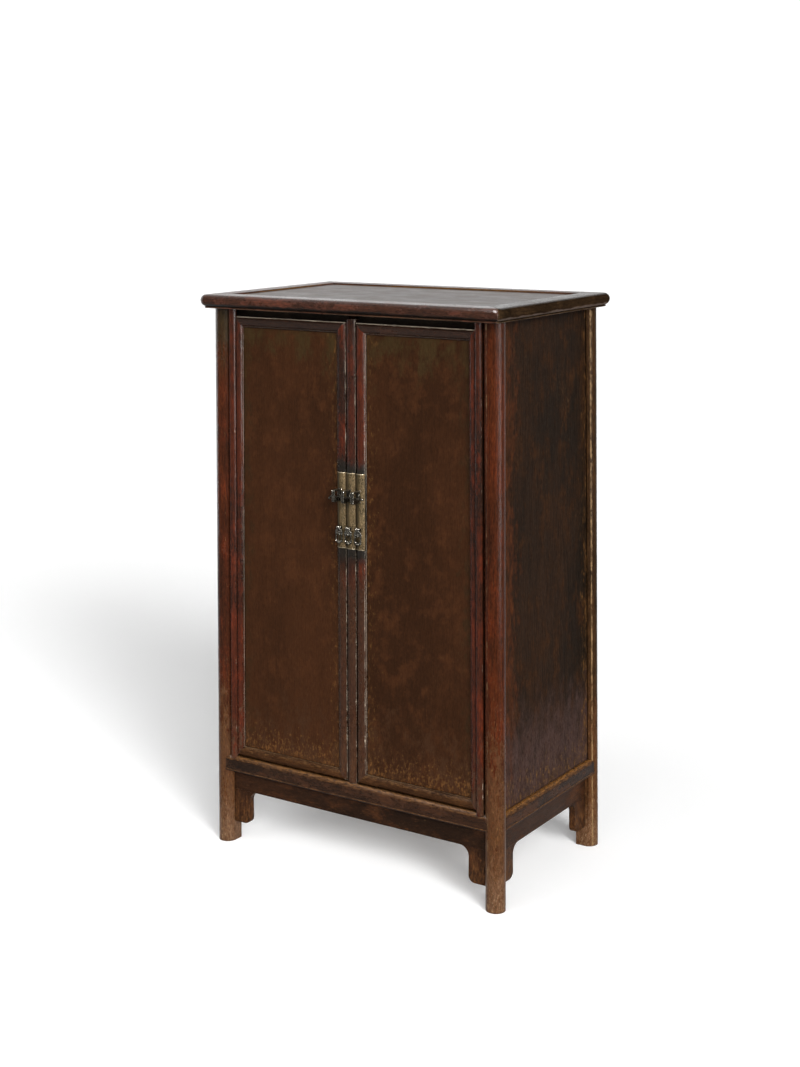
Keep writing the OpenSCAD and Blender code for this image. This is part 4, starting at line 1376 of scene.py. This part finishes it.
    def pull(self) -> Object:
        """Makes the openwork pull that hangs on the staple's pin.

        Returns:
            The pull.
        """
        word, bars, iron, spot = self.hand.word, self.smithy.bars, self.smithy.iron, self.spot
        outline = list(self.half) + [(-x, z) for x, z in reversed(self.half[1:-1])]
        loop = bars.sweep(f"{word}_loop", [[spot(x, z) for x, z in eased(outline)]], self.loop_r, iron,
                          facets=12, closed=True)
        turns = [2 * math.pi * i / 20 for i in range(20)]
        scrolls = [[spot(s * 2.6 + 1.75 * math.cos(a), -7.2 + 1.75 * math.sin(a)) for a in turns]
                   for s in (-1, 1)]
        rings = bars.sweep(f"{word}_rings", scrolls, self.scroll_r, iron, closed=True)
        eye = [spot(0.0, 1.95 * math.sin(a), 1.95 * math.cos(a)) for a in turns]
        eyes = bars.sweep(f"{word}_eye", [eye], self.eye_r, iron, closed=True, copies=4,
                          spacing=(self.eye_pitch, 0.0, 0.0))
        eyes.data.transform(Matrix.Translation((-1.5 * self.eye_pitch, 0.0, 0.0)))
        cross = straight(spot(-5.3, -9.9), spot(5.3, -9.9), 6)
        bridge = bars.sweep(f"{word}_bridge", [cross], self.bridge_r, iron)
        places = [(spot(x, z), size) for x, z, size in self.knobs]
        knobs = self.smithy.beads.strew(f"{word}_knobs", places, MM, iron)
        return joined(f"{word}_openwork_pull", [loop, rings, eyes, bridge, knobs])

    def build(self) -> None:
        """Builds and dresses the set."""
        word = self.hand.word
        polish(self.smithy.brass, f"{word}_plate")
        polish(self.smithy.iron, f"{word}_pull_staple")
        report(self.rims(), self.body)
        report(self.lug(), self.body, f"{word}_lock_lug")
        report(self.pull(), f"{word}_pull", f"{word}_pull")


@dataclass
class LockPin:
    """The loose pin through the three lock lugs, bent down at its left end."""

    smithy: Smithy
    forward: float = 26.0 * MM
    up: float = 674.0 * MM
    radius: float = 1.5 * MM
    left: float = -27.0 * MM
    right: float = 36.0 * MM
    bend: float = 4.6 * MM

    def build(self) -> None:
        """Builds the pin."""
        rod = straight(STANCE.front(self.left, self.forward, self.up),
                       STANCE.front(self.right, self.forward, self.up), 12)
        hook = [STANCE.front(self.left - self.bend * math.sin(a), self.forward,
                             self.up - self.bend * (1 - math.cos(a)))
                for a in (math.radians(15 * k) for k in range(6, 0, -1))]
        line = hook + rod
        bar = self.smithy.bars.sweep("pin_rod", [line], self.radius, self.smithy.iron, facets=14)
        caps = self.smithy.beads.strew("pin_ends", [(line[0], 1.25), (line[-1], 1.2)], self.radius,
                                       self.smithy.iron)
        report(joined("lock_pin", [bar, caps]), "centre_stile")


# The studio


@dataclass(frozen=True)
class Sun:
    """A distant light, which nothing mirrors.

    It stands turn degrees to the right of the front and height degrees up, and is spread degrees
    wide.
    """

    name: str
    turn: float
    height: float
    spread: float
    strength: float

    def hang(self) -> None:
        """Hangs the light."""
        data = bpy.data.lights.new(self.name, "SUN")
        data.angle = math.radians(self.spread)
        data.energy = self.strength
        light = placed(self.name, data)
        a, h = math.radians(self.turn), math.radians(self.height)
        toward = Vector((math.sin(a) * math.cos(h), -math.cos(a) * math.cos(h), math.sin(h)))
        light.rotation_euler = toward.to_track_quat("Z", "Y").to_euler()
        light.visible_glossy = False


@dataclass(frozen=True)
class SoftBox:
    """A bright rectangle that only shows where it is mirrored.

    It stands upright at a place turn degrees to the right of the front, or where turn is None lies
    level at its place and looks down.
    """

    name: str
    size: Span
    strength: float
    place: Axis
    turn: float | None = None

    @staticmethod
    def standing(name: str, turn: float, reach: float, height: float, size: Span,
                 strength: float) -> "SoftBox":
        """Stands a box upright, turn degrees to the right of the front, and returns it."""
        a = math.radians(turn)
        return SoftBox(name, size, strength, (reach * math.sin(a), -reach * math.cos(a), height), turn)

    def hang(self) -> None:
        """Hangs the box."""
        data = bpy.data.lights.new(self.name, "AREA")
        data.shape = "RECTANGLE"
        data.size, data.size_y = self.size
        data.energy = self.strength
        light = placed(self.name, data)
        light.location = self.place
        if self.turn is not None:
            light.rotation_euler = (math.radians(90.0), 0.0, math.radians(self.turn))
        light.visible_diffuse = False


@dataclass
class Studio:
    """The floor, the surroundings, the lights and the camera.

    The surroundings brighten through glow as a view turns from the front to the back through
    horizon, and are also brighter above by rise.
    """

    place: Axis = (1.6057, -2.4394, 1.2233)
    azimuth: float = 33.558
    pitch: float = 12.449
    roll: float = -0.374
    lens: float = 57.07
    film: float = 36.0
    floor_reach: float = 30.0
    horizon: Span = (0.1, 0.85)
    glow: Span = (0.20, 1.2)
    rise: float = 0.15
    lights: tuple[Sun | SoftBox, ...] = (
        Sun("key", 48.0, 24.0, 42.0, 3.5),
        Sun("glint", 58.0, 25.0, 16.0, 1.5),
        Sun("fill", -14.0, 38.0, 64.0, 0.9),
        Sun("dome", 0.0, 90.0, 170.0, 0.5),
        SoftBox.standing("side_box", 84.0, 2.4, 1.05, (0.34, 2.0), 60.0),
        SoftBox.standing("broad_box", 54.0, 3.2, 1.45, (0.5, 1.5), 18.0),
        SoftBox.standing("left_box", -88.0, 2.6, 1.1, (0.3, 2.0), 16.0),
        SoftBox("overhead_box", (1.6, 1.0), 280.0, (0.4, -1.0, 3.2)),
    )

    def camera(self) -> None:
        """Sets the camera where the photograph was taken from."""
        a, p, r = (math.radians(v) for v in (self.azimuth, self.pitch, self.roll))
        forward = Vector((-math.sin(a) * math.cos(p), math.cos(a) * math.cos(p), -math.sin(p)))
        right = Vector((math.cos(a), math.sin(a), 0.0))
        up = right.cross(forward)
        tilted_right = right * math.cos(r) + up * math.sin(r)
        tilted_up = up * math.cos(r) - right * math.sin(r)
        data = bpy.data.cameras.new("camera")
        data.sensor_fit = "VERTICAL"
        data.sensor_width = data.sensor_height = self.film
        data.lens = self.lens
        camera = placed("camera", data)
        turn = Matrix((tilted_right, tilted_up, -forward)).transposed().to_4x4()
        camera.matrix_world = Matrix.Translation(self.place) @ turn
        bpy.context.scene.camera = camera

    def floor(self) -> None:
        """Lays the pale floor."""
        r = self.floor_reach
        mesh = bpy.data.meshes.new("floor")
        mesh.from_pydata([(-r, -r, 0.0), (r, -r, 0.0), (r, r, 0.0), (-r, r, 0.0)], [], [(0, 1, 2, 3)])
        floor = placed("floor", mesh)
        mesh.materials.append(Sketch("floor_paper").finish(
            Base_Color=(0.95, 0.95, 0.95, 1.0), Emission_Color=WHITE, Emission_Strength=0.16,
            Roughness=0.9, Specular_IOR_Level=0.1))
        floor.visible_glossy = False

    def world(self) -> None:
        """Sets the pale surroundings, brighter behind the cabinet than in front."""
        world = bpy.data.worlds.new("surroundings")
        world.use_nodes = True
        graph = Graph(world.node_tree)
        a = math.radians(self.azimuth)
        around = graph.step("ShaderNodeTexCoord", {}).outputs["Generated"]
        turned = graph.along(around, (-math.sin(a), math.cos(a), self.rise))
        back = graph.nodes["Background"].inputs
        graph.feed(back["Strength"], graph.slope(turned, *self.horizon, *self.glow))
        graph.feed(back["Color"], WHITE)
        bpy.context.scene.world = world
        world.cycles_visibility.diffuse = False

    def build(self) -> None:
        """Sets up the whole studio."""
        bpy.context.scene.view_settings.view_transform = "Standard"
        self.camera()
        self.floor()
        self.world()
        for light in self.lights:
            light.hang()


def main() -> None:
    """Builds and dresses everything, in order."""
    logging.basicConfig(level=logging.INFO, format="%(name)s: %(message)s")
    Studio().build()
    for work in (TopFrame(), Posts(), Base(), Carcass(), Door(Hand.LEFT), Door(Hand.RIGHT), CentreStile()):
        work.dress()
    smithy = Smithy()
    for hand in Hand:
        LockSet(smithy, hand).build()
    LockPin(smithy).build()


if __name__ == "__main__":
    main()
